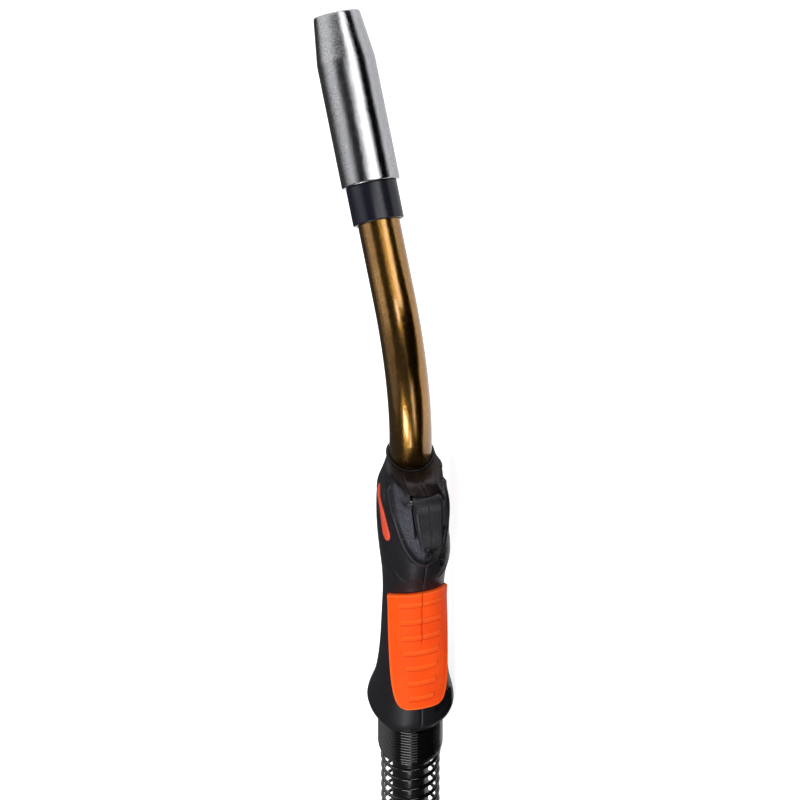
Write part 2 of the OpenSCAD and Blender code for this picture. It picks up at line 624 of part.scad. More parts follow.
module cable_tail() color("black") on_bench()
    tube_solid(tail_points, same_up(tail_points, [0, 0, 1]), cable_r, cable_sides);

tie_gap = 0.3;
function radii_at(a) = let (t0 = ((a - 90) % 360 + 360) % 360 / 360)
    [for (t = [t0:1:coil_turns]) coil_radius(t)];
module coil_ties() color("black") on_bench() for (a = [0, 120, 240]) {
    near = min(radii_at(a)) - cable_r - tie_gap;
    far = max(radii_at(a)) + cable_r + tie_gap;
    top = high_z + cable_r + tie_gap;
    translate([coil_x, coil_y, 0]) rotate([0, 0, a]) rotate([90, 0, 0])
        translate([0, 0, -tie_w / 2]) linear_extrude(tie_w) difference() {
            translate([near - tie_thick, 0]) square([far - near + 2 * tie_thick, top + tie_thick]);
            translate([near, tie_thick]) square([far - near, top - tie_thick]);
        }
}

// Gas nozzle end, along the front end of the neck --------------------------------------------------

nozzle_r = nozzle_d / 2;
nozzle_tip_r = nozzle_tip_d / 2;
nozzle_in = nozzle_r - nozzle_wall;
mouth_r = nozzle_tip_r - nozzle_wall;
// The mouth is a plain bore as far as the contact tip
mouth_len = tip_recess - 0.5;
nozzle_end = insulator_show + nozzle_len;
taper_start = nozzle_end - nozzle_taper;
insulator_r = insulator_d / 2;
sleeve_r = nozzle_in - 0.4;
sleeve_end = insulator_show + 16;
ring_at = insulator_show + 8;
holder_back = socket_depth - 1.5;
holder_r = 7.6;
holder_end = insulator_show + 38;
tip_r = tip_d / 2;
tip_end = nozzle_end - tip_recess;
tip_seat = 9;

module gas_nozzle() color("silver") at_front() difference() {
    turned_along_x([[insulator_show, 0], [insulator_show, nozzle_r - 0.5], [insulator_show + 0.5, nozzle_r],
        [taper_start, nozzle_r], [nozzle_end - 1, nozzle_tip_r], [nozzle_end, mouth_rim_r],
        [nozzle_end, 0]]);
    turned_along_x([[insulator_show - 1, 0], [insulator_show - 1, nozzle_in], [taper_start, nozzle_in],
        [nozzle_end - mouth_len, mouth_r], [nozzle_end + 1, mouth_r], [nozzle_end + 1, 0]]);
}
module nozzle_insulator() color("black") at_front() difference() {
    turned_along_x([[0, 0], [0, insulator_r - 0.6], [0.6, insulator_r], [insulator_show - fit, insulator_r],
        [insulator_show - fit, sleeve_r], [ring_at, sleeve_r], [ring_at, sleeve_r - 1.1],
        [ring_at + 2.6, sleeve_r - 1.1], [ring_at + 2.6, sleeve_r], [sleeve_end - 1, sleeve_r],
        [sleeve_end, sleeve_r - 1], [sleeve_end, 0]]);
    rod(-1, socket_depth + fit, neck_r + running);
    rod(-1, sleeve_end + 1, holder_r + running);
}
module nozzle_spring() color("silver") at_front() pipe(ring_at + 0.2, ring_at + 2.4, nozzle_in - running,
    sleeve_r - 1);
module gas_diffuser() color("goldenrod") at_front() difference() {
    union() {
        rod(socket_depth + fit, holder_end, holder_r);
        rod(holder_back + fit, socket_depth + fit, liner_r + 0.35);
    }
    rod(holder_back - 1, holder_end - 1, liner_bore + 0.3);
    rod(holder_end - tip_seat, holder_end + 1, tip_r - 1);
    for (a = [0:60:300]) rotate([a, 0, 0]) translate([sleeve_end + 6, 0, 0])
        cylinder(r = 1, h = holder_r + 1);
}
module contact_tip() color("peru") at_front() difference() {
    union() {
        rod(holder_end - tip_seat + 1, holder_end, tip_r - 1 - running);
        rod(holder_end + fit, tip_end - 2, tip_r);
        rod(holder_end - 0.1, holder_end + fit + 0.1, tip_r - 1 - running);
        translate([tip_end - 2, 0, 0]) rotate([0, 90, 0]) cylinder(r1 = tip_r, r2 = tip_r - 1.6, h = 2);
    }
    rod(holder_end - tip_seat, tip_end + 1, tip_bore / 2);
}

// Connector ----------------------------------------------------------------------------------------

boot_r = 14;
boot_flange = 3;
shell_x0 = boot_len - boot_flange - 3;
shell_x1 = shell_x0 + plug_len;
plug_r = plug_d / 2;
plug_in = plug_r - plug_wall;
sleeve_x1 = shell_x1 + 8;
neck_sleeve_r = plug_in - 0.5;
flange_x1 = sleeve_x1 + 3;
face_x = flange_x1 + 7;
nut_lip_x0 = shell_x1 + 0.4;
nut_x1 = nut_lip_x0 + nut_len;
pin_orbit = 12.2;
pin_out = 6;

oring_r = 0.95;
oring_x = face_x + power_len - 6.8;

module connector_boot() color("black") at_plug() difference() {
    turned_along_x([[0, 0], [0, cable_r + 1.4], [1, cable_r + 2], [shell_x0, boot_r], [shell_x0 + 3, boot_r],
        [shell_x0 + 3, boot_r + 2], [boot_len, boot_r + 2], [boot_len, 0]]);
    rod(-1, boot_len + 1, cable_r + running);
    for (i = [0:3]) difference() {
        rod(6 + 7 * i, 8.5 + 7 * i, 40);
        rod(5 + 7 * i, 9 + 7 * i, cable_r + 1.2);
    }
}
screw_xs = [shell_x0 + 12, shell_x1 - 14];
plug_screw_y = plug_r - 4.4;
plug_seat = 6;
module plug_shell() difference() {
    turned_along_x([[shell_x0, 0], [shell_x0, plug_r - 3], [shell_x0 + 3, plug_r], [shell_x1, plug_r],
        [shell_x1, 0]]);
    rod(shell_x0 + 2.8, shell_x1 - 6, plug_in);
    rod(shell_x0 - 1, shell_x0 + 5, boot_r + fit);
    rod(shell_x1 - 8, shell_x1 + 1, neck_sleeve_r + fit);
    translate([shell_x0 - 1, -50, -100]) cube([plug_len + 2, 100, 100]);
    for (x = screw_xs, side = [-1, 1]) plug_screw_hole(x, side);
    for (i = [0:5], side = [-1, 1]) translate([shell_x0 + 14 + 4.4 * i, side * plug_r, 0])
        cube([2, 1.2, 14], center = true);
}
module plug_screw_hole(x, side) translate([x, side * plug_screw_y, -1]) {
    cylinder(r = 1.6, h = 50);
    translate([0, 0, plug_seat + 1]) cylinder(r = 2.8, h = 50);
}
module plug_boss(x, side) intersection() {
    translate([x, side * plug_screw_y, 0]) cylinder(r = 3.9, h = plug_r);
    rod(shell_x0, shell_x1, plug_r - 1);
}
module plug_half() union() {
    plug_shell();
    for (x = screw_xs, side = [-1, 1]) difference() {
        plug_boss(x, side);
        plug_screw_hole(x, side);
    }
}
module connector_shell_upper() color("dimgray") at_plug() plug_half();
module connector_shell_lower() color("dimgray") at_plug() mirror([0, 0, 1]) plug_half();
module connector_screws() color("silver") at_plug() for (x = screw_xs, side = [-1, 1])
    translate([x, side * plug_screw_y, 0]) {
        translate([0, 0, -plug_seat]) cylinder(r = 1.5, h = 2 * plug_seat);
        translate([0, 0, plug_seat]) cylinder(r = 2.6, h = 1.8);
    }
module connector_body() color("black") at_plug() difference() {
    union() {
        rod(boot_len + 8, shell_x1 - 8, 11);
        rod(shell_x1 - 8, sleeve_x1, neck_sleeve_r);
        rod(sleeve_x1, flange_x1, plug_r);
        rod(flange_x1, face_x, pin_orbit + 4);
    }
    rod(boot_len + 7, face_x + 1, power_d / 2 - 2 + running);
    for (side = [-1, 1]) translate([0, side * pin_orbit, 0])
        rod(face_x - 13, face_x + 1, contact_d / 2 + running);
}
module connector_nut() color("dimgray") at_plug() difference() {
    turned_along_x([[nut_lip_x0, 0], [nut_lip_x0, nut_d / 2 - 1.5], [nut_lip_x0 + 1.5, nut_d / 2],
        [nut_x1 - 1, nut_d / 2], [nut_x1, nut_d / 2 - 1], [nut_x1, 0]]);
    rod(nut_lip_x0 - 1, nut_x1 + 1, neck_sleeve_r + running);
    rod(sleeve_x1 - 0.3, nut_x1 + 1, plug_r + 0.3);
    for (a = [0:15:345]) rotate([a, 0, 0]) translate([nut_lip_x0 + 4, 0, nut_d / 2 + 0.4]) rotate([0, 90, 0])
        cylinder(r = 1.6, h = nut_len);
}
module power_pin() color("goldenrod") at_plug() difference() {
    union() {
        rod(boot_len + 9, face_x, power_d / 2 - 2);
        rod(face_x, face_x + power_len, power_d / 2);
    }
    rod(boot_len + 8, face_x + power_len + 1, 3.1);
    difference() {
        rod(oring_x - oring_r - 0.2, oring_x + oring_r + 0.2, power_d);
        rod(oring_x - 2, oring_x + 2, power_d / 2 - 2 * oring_r - 0.06);
    }
}
// The ring is drawn as it sits in the socket, level with the pin
module pin_oring() color("black") at_plug() translate([oring_x, 0, 0]) rotate([0, 90, 0])
    rotate_extrude() translate([power_d / 2 - oring_r - 0.01, 0]) circle(r = oring_r, $fn = 24);
module contact_pin(side) color("goldenrod") at_plug() translate([0, side * pin_orbit, 0]) union() {
    rod(face_x - 8, face_x + pin_out - 1, contact_d / 2);
    translate([face_x + pin_out - 1, 0, 0]) rotate([0, 90, 0])
        cylinder(r1 = contact_d / 2, r2 = contact_d / 2 - 0.8, h = 1);
}
module contact_pin_a() contact_pin(1);
module contact_pin_b() contact_pin(-1);
module liner_nut() color("goldenrod") at_plug() difference() {
    union() {
        rod(face_x + power_len - 10, face_x + power_len, 3);
        translate([face_x + power_len + fit, 0, 0]) rotate([0, 90, 0]) cylinder(r = 5.2, h = 5, $fn = 6);
        rod(face_x + power_len - 1, face_x + power_len + 1, 3);
    }
    rod(face_x + power_len - 11, face_x + power_len + 6, 1.2);
}

gas_nozzle();
nozzle_insulator();
nozzle_spring();
gas_diffuser();
contact_tip();
neck_tube();
neck_insulation();
neck_conductor();
wire_liner();
neck_collar();
neck_nut();
power_block();
cable_crimp();
cable_core();
handle_left();
handle_right();
grip_pad_left();
grip_pad_right();
label_inlay_left();
label_inlay_right();
handle_screws();
trigger();
trigger_pin();
trigger_spring();
switch_body();
switch_plunger();
switch_terminals();
control_wires();
spring_bush();
support_spring();
cable_run();
cable_coil();
cable_tail();
coil_ties();
connector_boot();
connector_shell_upper();
connector_shell_lower();
connector_screws();
connector_body();
connector_nut();
power_pin();
pin_oring();
contact_pin_a();
contact_pin_b();
liner_nut();
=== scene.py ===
"""Welding torch on its side: a bent brass neck with a chromed gas nozzle, a two-shell handle with
soft grips, and a lead that leaves through a support spring into a coil with its connector."""
import bpy
import numpy as np
from mathutils import Matrix, Vector


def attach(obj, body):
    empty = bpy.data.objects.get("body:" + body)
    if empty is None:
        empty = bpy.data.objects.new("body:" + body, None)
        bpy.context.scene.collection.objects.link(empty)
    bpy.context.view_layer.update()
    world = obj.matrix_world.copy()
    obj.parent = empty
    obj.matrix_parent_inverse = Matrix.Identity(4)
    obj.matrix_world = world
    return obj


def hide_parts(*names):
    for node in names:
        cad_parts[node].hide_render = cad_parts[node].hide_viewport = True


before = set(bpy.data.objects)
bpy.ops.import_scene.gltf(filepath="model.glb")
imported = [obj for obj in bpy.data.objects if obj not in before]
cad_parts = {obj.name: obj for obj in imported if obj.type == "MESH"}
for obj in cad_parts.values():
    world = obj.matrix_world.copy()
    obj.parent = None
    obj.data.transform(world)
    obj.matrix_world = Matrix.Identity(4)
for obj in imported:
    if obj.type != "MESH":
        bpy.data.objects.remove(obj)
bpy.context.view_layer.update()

MM = 0.001
# Torch coordinates are millimetres, X along the handle from its rear rim, the trigger facing -Y
REST = np.array([-101.97246, -46.90528, 18.9])
# The bench is at zero height, below the flank on which the torch lies
BENCH = np.array([-101.97246, -46.90528, 0.0])


def metres(points, origin=REST):
    return (np.asarray(points, dtype=float) + origin) * MM


# Camera ---------------------------------------------------------------------------------------------

def set_camera():
    """Looks along the handle from the trigger's side, low over the bench, rolled so the handle stands
    upright in the frame."""
    lean, along = np.radians(15.0), 0.687
    across = np.sqrt(1 - along ** 2)
    right = np.array([0.0, -np.sin(lean), -np.cos(lean)])
    up = np.array([across, along * np.cos(lean), -along * np.sin(lean)])
    back = np.array([along, -across * np.cos(lean), across * np.sin(lean)])
    aim = -4.605 * right + 136.84 * up
    spot = metres(aim + (7017.5 + 60.0) * back)
    data = bpy.data.cameras.new("camera")
    data.lens, data.sensor_width, data.clip_end = 720.0, 36.0, 60.0
    camera = bpy.data.objects.new("camera", data)
    camera.matrix_world = Matrix([(right[i], up[i], back[i], spot[i]) for i in range(3)] + [(0, 0, 0, 1)])
    bpy.context.scene.collection.objects.link(camera)
    bpy.context.scene.camera = camera


# Surfaces from grids ----------------------------------------------------------------------------------

def surface(name, points, around=False, caps=False, flip=False, origin=REST, size=(1.0, 1.0), **masks):
    """Mesh through a grid of points [row, column, xyz]: each four neighbours make one quad. around
    joins the last column to the first, caps closes the first and last rows with one face each. The
    UV runs from 0 to size along rows and columns. masks are one number for each point."""
    rows, cols = points.shape[:2]
    index = np.arange(rows * cols).reshape(rows, cols)
    beside = np.roll(index, -1, axis=1) if around else index[:, 1:]
    here = index if around else index[:, :-1]
    quads = np.stack([here[:-1], here[1:], beside[1:], beside[:-1]], -1)
    u, v = np.meshgrid(np.arange(rows - 1), np.arange(quads.shape[1]), indexing="ij")
    corner_u = np.stack([u, u + 1, u + 1, u], -1) / (rows - 1) * size[0]
    corner_v = np.stack([v, v, v + 1, v + 1], -1) / quads.shape[1] * size[1]
    quads = quads.reshape(-1, 4)
    uv = np.stack([corner_u, corner_v], -1).reshape(-1, 4, 2)
    if flip:
        quads, uv = quads[:, ::-1], uv[:, ::-1]
    faces = quads.tolist()
    uvs = uv.reshape(-1, 2)
    if caps:
        first, last = index[0], index[-1][::-1]
        ends = [first[::-1], last[::-1]] if flip else [first, last]
        faces += [end.tolist() for end in ends]
        uvs = np.concatenate([uvs, np.zeros((2 * cols, 2))])
    mesh = bpy.data.meshes.new(name)
    mesh.from_pydata(metres(points.reshape(-1, 3), origin), [], faces)
    mesh.uv_layers.new(name="UVMap").data.foreach_set("uv", uvs.ravel())
    for mask, values in masks.items():
        layer = mesh.attributes.new(mask, "FLOAT", "POINT")
        layer.data.foreach_set("value", np.asarray(values, dtype=np.float32).ravel())
    mesh.polygons.foreach_set("use_smooth", np.ones(len(mesh.polygons), dtype=bool))
    mesh.update()
    piece = bpy.data.objects.new(name, mesh)
    bpy.context.scene.collection.objects.link(piece)
    return piece


def joined(name, parts):
    """One piece from several meshes; its points are already in their places."""
    bpy.ops.object.select_all(action="DESELECT")
    for part in parts:
        part.select_set(True)
    bpy.context.view_layer.objects.active = parts[0]
    if len(parts) > 1:
        bpy.ops.object.join()
    parts[0].name = name
    return parts[0]


def dress(piece, finish, body="torch", stands_for=()):
    """Gives a piece its finish, its body and the CAD nodes that it replaces."""
    piece.data.materials.clear()
    piece.data.materials.append(finish)
    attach(piece, body)
    if stands_for:
        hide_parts(*stands_for)
    return piece


def mix(a, b, t):
    return a + (b - a) * t


def smooth(low, high, value):
    """Runs from 0 at low to 1 at high on the curve 3s^2 - 2s^3."""
    s = np.clip((value - low) / (high - low), 0.0, 1.0)
    return s * s * (3.0 - 2.0 * s)


def bump(distance, width):
    """A bell over distance: exp(-(d/width)^2)."""
    return np.exp(-(distance / width) ** 2)


def spaced(low, high, step, *marks):
    """Even steps from low to high, with the marks among them."""
    even = np.linspace(low, high, int(round((high - low) / step)) + 1)
    near = np.min(np.abs(even[:, None] - np.array(marks or [1e9])[None, :]), axis=1)
    return np.sort(np.concatenate([even[near > step * 0.3], marks])) if marks else even


def through(knots, count):
    """Points evenly along a smooth curve through knots (Catmull-Rom)."""
    p = np.asarray(knots, dtype=float)
    p = np.concatenate([2 * p[:1] - p[1:2], p, 2 * p[-1:] - p[-2:-1]])
    t = np.linspace(0, len(knots) - 1 - 1e-9, 40 * len(knots))
    i = t.astype(int)
    s = (t - i)[:, None]
    a, b, c, d = p[i], p[i + 1], p[i + 2], p[i + 3]
    curve = 0.5 * (2 * b + (c - a) * s + (2 * a - 5 * b + 4 * c - d) * s ** 2 + (3 * b - a - 3 * c + d) * s ** 3)
    run = np.concatenate([[0], np.cumsum(np.linalg.norm(np.diff(curve, axis=0), axis=1))])
    at = np.linspace(0, run[-1], count)
    return np.stack([np.interp(at, run, curve[:, k]) for k in range(curve.shape[1])], -1)


def tube(path, ups, radii, sides):
    """Rings round a path: each point is the path's point plus r (cos a up + sin a side), where side is
    square to up and to the path."""
    along = np.gradient(path, axis=0)
    along /= np.linalg.norm(along, axis=1, keepdims=True)
    ups = ups - np.sum(ups * along, axis=1, keepdims=True) * along
    ups /= np.linalg.norm(ups, axis=1, keepdims=True)
    side = np.cross(along, ups)
    a = np.linspace(0, 2 * np.pi, sides, endpoint=False)[None, :, None]
    radii = np.broadcast_to(radii, (len(path),))[:, None, None]
    return path[:, None] + radii * (np.cos(a) * ups[:, None] + np.sin(a) * side[:, None])


def rounded(profile, radius, steps=5):
    """A profile of [along, out] corners with each inner corner replaced by a small curve, whose
    points are a(1-t)^2 + 2bt(1-t) + ct^2 between its two tangent points."""
    profile = np.asarray(profile, dtype=float)
    out = [profile[:1]]
    t = np.linspace(0, 1, steps)[:, None]
    for before, corner, after in zip(profile[:-2], profile[1:-1], profile[2:]):
        reach = [min(radius, 0.45 * np.linalg.norm(q - corner)) for q in (before, after)]
        a = corner + (before - corner) / np.linalg.norm(before - corner) * reach[0]
        c = corner + (after - corner) / np.linalg.norm(after - corner) * reach[1]
        out.append(a * (1 - t) ** 2 + 2 * corner * t * (1 - t) + c * t ** 2)
    out.append(profile[-1:])
    return np.concatenate(out)


def lathe(name, profile, start, direction, sides=96):
    """Revolves a closed profile of [along, out] round an axis: point = start + along d +
    out (cos a u + sin a v)."""
    d = np.asarray(direction, dtype=float) / np.linalg.norm(direction)
    u = np.array([0.0, 0.0, 1.0])
    v = np.cross(d, u)
    a = np.linspace(0, 2 * np.pi, sides, endpoint=False)[:, None, None]
    profile = np.asarray(profile, dtype=float)
    rings = start + profile[None, :, :1] * d + profile[None, :, 1:] * (np.cos(a) * u + np.sin(a) * v)
    rings = rings.transpose(1, 0, 2)
    return surface(name, np.concatenate([rings, rings[:1]]), around=True)


# Shader arithmetic --------------------------------------------------------------------------------

class Shade:
    """A number that varies over a surface. Arithmetic on it adds Math nodes to its finish."""

    def __init__(self, finish, socket):
        self.finish, self.socket = finish, socket

    def maths(self, operation, *values):
        return self.finish.node("ShaderNodeMath", {"operation": operation}, dict(enumerate(values)))

    def __add__(self, other):
        return self.maths("ADD", self, other)

    def __sub__(self, other):
        return self.maths("SUBTRACT", self, other)

    def __rsub__(self, other):
        return self.maths("SUBTRACT", other, self)

    def __mul__(self, other):
        return self.maths("MULTIPLY", self, other)

    __radd__, __rmul__ = __add__, __mul__

    def step(self, low, high, a=0.0, b=1.0):
        """Runs smoothly from a at low to b at high."""
        return self.finish.node("ShaderNodeMapRange", {"interpolation_type": "SMOOTHSTEP"},
            {"Value": self, "From Min": low, "From Max": high, "To Min": a, "To Max": b})


class Finish:
    """A material whose Principled shader takes what node() and the patterns below work out."""

    def __init__(self, name, metallic=0.0, coat=0.0, coat_roughness=0.03, ior=1.5, sheen=0.0):
        self.material = bpy.data.materials.new(name)
        self.material.use_nodes = True
        self.tree = self.material.node_tree
        self.shader = self.tree.nodes["Principled BSDF"]
        for socket, value in {"Metallic": metallic, "Coat Weight": coat, "Coat Roughness": coat_roughness,
                "IOR": ior, "Sheen Weight": sheen}.items():
            self.shader.inputs[socket].default_value = value
        self.place = self.node("ShaderNodeTexCoord", out="Object")

    def node(self, kind, settings=None, values=None, out=0):
        made = self.tree.nodes.new(kind)
        for key, setting in (settings or {}).items():
            if key == "stops":
                while len(made.color_ramp.elements) < len(setting):
                    made.color_ramp.elements.new(0.5)
                for stop, (where, colour) in zip(made.color_ramp.elements, setting):
                    stop.position, stop.color = where, (*colour, 1.0)
            else:
                setattr(made, key, setting)
        for key, value in (values or {}).items():
            if value is None:
                continue
            if isinstance(value, Shade):
                self.tree.links.new(value.socket, made.inputs[key])
            else:
                made.inputs[key].default_value = (*value, 1.0) if (isinstance(value, tuple) and
                    made.inputs[key].type == "RGBA") else value
        return Shade(self, made.outputs[out])

    def noise(self, scale, detail=3.0, roughness=0.55, stretch=None):
        where = self.place
        if stretch:
            where = self.node("ShaderNodeMapping", None, {"Vector": where, "Scale": stretch})
        return self.node("ShaderNodeTexNoise", None,
            {"Vector": where, "Scale": scale, "Detail": detail, "Roughness": roughness})

    def mask(self, name):
        return self.node("ShaderNodeAttribute", {"attribute_name": name}, out="Fac")

    def blend(self, share, a, b):
        return self.node("ShaderNodeMix", {"data_type": "RGBA"}, {0: share, 6: a, 7: b}, out=2)

    def bumps(self, *layers):
        """Bumps one over the other: each layer is a height and its size in metres."""
        normal = None
        for height, size in layers:
            normal = self.node("ShaderNodeBump", None, {"Strength": 1.0, "Distance": size,
                "Height": height, "Normal": normal})
        return normal

    def done(self, colour, roughness, normal=None, **others):
        feeds = {"Base Color": colour, "Roughness": roughness, "Normal": normal, **others}
        for key, value in feeds.items():
            if value is None:
                continue
            if isinstance(value, Shade):
                self.tree.links.new(value.socket, self.shader.inputs[key])
            else:
                self.shader.inputs[key].default_value = (*value, 1.0) if isinstance(value, tuple) else value
        return self.material


def moulded_plastic(name, colour, lighter, rough=0.42, grain=0.00004, grain_scale=2600.0, ior=1.45):
    """Moulded plastic: a fine spark-eroded grain, faint flow marks and rubbed patches."""
    f = Finish(name, ior=ior)
    flow = f.noise(38.0, 4.0)
    rubbed = f.noise(14.0, 3.0).step(0.45, 0.72)
    grains = f.noise(grain_scale, 2.0)
    return f.done(f.blend(flow.step(0.3, 0.75), colour, lighter), rough + 0.08 * flow - 0.08 * rubbed,
        f.bumps((grains, grain), (flow, 0.0001)))


def handle_plastic():
    """Satin plastic of the shells: a coarser grain in the scoops by the trigger, painted paler and bluish there as a
    sheen with painted glints, painted shade in the slits, a painted brown reflection of the brass neck on the hood,
    and a painted bluish highlight along the ridge and the hood edge."""
    f = Finish("handle_plastic", ior=1.44)
    flow = f.noise(30.0, 4.0)
    scoop = f.mask("scoop")
    slit = f.mask("slit")
    edge = f.mask("edge")
    body = f.blend(flow.step(0.3, 0.75), (0.0085, 0.0075, 0.0100), (0.0125, 0.0112, 0.0145))
    # Painted reflection: the brass neck's brown reflection painted onto the hood
    body = f.blend(f.mask("hood") * 0.7, body, (0.0200, 0.0125, 0.0095))
    # Painted highlight: a pale bluish line along the ridge and the hood edge
    body = f.blend(edge * 0.6, body, (0.045, 0.044, 0.056))
    # Painted sheen: the scoops are painted paler and bluish, with painted glints, over their coarser grain
    glint = f.noise(1300.0, 2.0, 0.7).step(0.42, 0.62)
    body = f.blend(scoop * (0.35 + 0.5 * glint), body, (0.075, 0.076, 0.102))
    # Painted shade: near black in the slit, the keyhole recess and under the trigger's free end
    body = f.blend(slit, body, (0.001, 0.001, 0.001))
    fine = f.noise(2400.0, 2.0)
    coarse = f.noise(1500.0, 2.0)
    return f.done(body, 0.36 + 0.07 * flow + 0.10 * scoop - 0.08 * edge,
        f.bumps((fine, 0.00004), (coarse * scoop, 0.00040), (flow, 0.00010)))


def polished_brass():
    """Drawn brass tube: a fine speckle of pits, pale where it is rubbed and brown with tarnish."""
    f = Finish("polished_brass", metallic=1.0, coat=1.0, coat_roughness=0.05)
    speckle = f.noise(1700.0, 3.0, 0.6)
    cloud = f.noise(60.0, 3.0)
    blotch = f.noise(260.0, 4.0, 0.6)
    colour = f.blend(speckle.step(0.35, 0.65), (0.25, 0.112, 0.018), (0.44, 0.235, 0.050))
    colour = f.blend(blotch.step(0.52, 0.70) * 0.45, colour, (0.25, 0.095, 0.018))
    colour = f.blend(cloud.step(0.5, 0.75) * 0.3, colour, (0.20, 0.085, 0.018))
    return f.done(colour, 0.15 + 0.10 * cloud + 0.05 * speckle, f.bumps((speckle, 0.00006), (blotch, 0.00010)))


def bright_chrome():
    """Chrome over a slightly pitted casting: a dense fine speckle and soft long waves."""
    f = Finish("bright_chrome", metallic=1.0)
    speckle = f.noise(1600.0, 3.0, 0.7)
    wave = f.noise(32.0, 2.0)
    streak = f.noise(90.0, 2.0, stretch=(0.35, 0.35, 3.0))
    colour = f.blend(speckle.step(0.38, 0.64), (0.38, 0.385, 0.405), (0.55, 0.555, 0.575))
    colour = f.blend(streak.step(0.5, 0.8) * 0.35, colour, (0.30, 0.30, 0.34))
    return f.done(colour, 0.07 + 0.06 * speckle, f.bumps((speckle, 0.00010), (wave, 0.0006)))


def plain_metal(name, colour, darker, rough=0.25, scale=700.0):
    """Turned or drawn metal: fine marks and darker patches of handling."""
    f = Finish(name, metallic=1.0)
    marks = f.noise(scale, 3.0)
    cloud = f.noise(70.0, 3.0)
    return f.done(f.blend(cloud.step(0.4, 0.7), colour, darker), rough + 0.15 * marks,
        f.bumps((marks, 0.00005)))


def soft_grip():
    """Soft moulded elastomer: matt, with a powdery grain, a painted highlight on its raised rim and rib tops,
    painted shade at the ribs' feet and a dark parting line.
    """
    f = Finish("soft_grip", ior=1.25)
    cloud = f.noise(42.0, 4.0)
    fine = f.noise(2600.0, 2.0)
    body = f.blend(cloud.step(0.3, 0.7), (0.86, 0.066, 0.0006), (0.93, 0.084, 0.0012))
    # Painted highlight: paler orange on the pad's raised rim and along the ribs' tops
    body = f.blend(f.mask("edge") * 0.7, body, (1.0, 0.165, 0.022))
    # Painted shade darkens the grooves at the ribs' feet; the parting line is a dark seam
    body = f.blend(f.mask("groove") * 0.6, body, (0.34, 0.022, 0.001))
    return f.done(body, 0.52 + 0.08 * cloud, f.bumps((fine, 0.00005), (cloud, 0.0002)))


def label_finish():
    """Glossy inlay, left bare: slightly mottled under a clear face."""
    f = Finish("label_inlay", coat=0.3, ior=1.4)
    cloud = f.noise(120.0, 3.0)
    body = f.blend(cloud.step(0.3, 0.7), (0.74, 0.070, 0.028), (0.82, 0.10, 0.045))
    return f.done(body, 0.36 + 0.06 * cloud, f.bumps((cloud, 0.00008)))


def gloss_black(name, colour=(0.003, 0.0028, 0.0034), rough=0.07, scale=500.0, coat=1.0):
    """Black coated wire or a smooth lead: glossy, with small flow marks and dull scuffs."""
    f = Finish(name, coat=coat, coat_roughness=0.06)
    marks = f.noise(scale, 3.0)
    scuff = f.noise(60.0, 4.0).step(0.55, 0.75)
    return f.done(f.blend(scuff, colour, tuple(2.0 * c for c in colour)), rough + 0.04 * marks + 0.12 * scuff,
        f.bumps((marks, 0.00003)))


# Sine waves of thread, in radians over a strap's UV of one
THREADS = 900.0


def woven_strap():
    """Hook-and-loop strap: crossed threads, each a row of small sine ridges along the strap's UV."""
    f = Finish("woven_strap", sheen=0.4)
    uv = f.node("ShaderNodeTexCoord", out="UV")
    parts = f.node("ShaderNodeSeparateXYZ", None, {0: uv})
    across = f.node("ShaderNodeSeparateXYZ", None, {0: uv}, out=1)
    warp = parts.maths("SINE", parts * THREADS)
    weft = across.maths("SINE", across * THREADS)
    height = warp * weft
    fuzz = f.noise(1800.0, 3.0)
    # The colour follows the threads' height: painted shade in the hollows between them, a painted sheen on their crowns
    colour = f.blend(height.step(-0.6, 0.8), (0.010, 0.010, 0.011), (0.050, 0.050, 0.054))
    return f.done(colour, 0.78 + 0.1 * fuzz, f.bumps((height, 0.00025), (fuzz, 0.0002)))


# The handle's skin --------------------------------------------------------------------------------

HANDLE = 160.0
RIM, FLARE, WAIST, HEAD, NOSE = 14.45, 18.9, 13.2, 16.2, 10.7
GRIP_F, HEAD_F, HOOD_F, WAIST_B, HEAD_B = 18.5, 27.8, 29.2, 9.5, 14.0
# Share of the length, front depth, back depth and half width
STATIONS = np.array([
    [0, RIM, RIM, RIM],
    [0.03] + [mix(RIM, FLARE, 0.7)] * 3,
    [0.0625, FLARE, FLARE, FLARE],
    [0.16, FLARE, mix(FLARE, WAIST_B, 0.57), mix(FLARE, WAIST, 0.49)],
    [0.27, GRIP_F, mix(FLARE, WAIST_B, 0.93), mix(FLARE, WAIST, 0.75)],
    [0.425, GRIP_F, WAIST_B, mix(FLARE, WAIST, 0.94)],
    [0.5, GRIP_F, WAIST_B, WAIST],
    [0.575, mix(GRIP_F, HEAD_F, 0.17), mix(WAIST_B, HEAD_B, 0.16), mix(WAIST, HEAD, 0.16)],
    [0.65, mix(GRIP_F, HEAD_F, 0.6), mix(WAIST_B, HEAD_B, 0.45), mix(WAIST, HEAD, 0.58)],
    [0.725, mix(GRIP_F, HEAD_F, 0.88), mix(WAIST_B, HEAD_B, 0.8), mix(WAIST, HEAD, 0.9)],
    [0.8, HEAD_F, HEAD_B, HEAD],
    [0.875, mix(HEAD_F, HOOD_F, 0.6), mix(HEAD_B, NOSE, 0.12), mix(HEAD, NOSE, 0.08)],
    [0.925, HOOD_F, mix(HEAD_B, NOSE, 0.53), mix(HEAD, NOSE, 0.49)],
    [0.97, mix(HOOD_F, NOSE, 0.10), mix(HEAD_B, NOSE, 0.82), mix(HEAD, NOSE, 0.86)],
    [0.985, mix(HOOD_F, NOSE, 0.42), mix(HEAD_B, NOSE, 0.94), mix(HEAD, NOSE, 0.95)],
    [1, NOSE, NOSE, NOSE]])
SECTION_POWER = 2.2


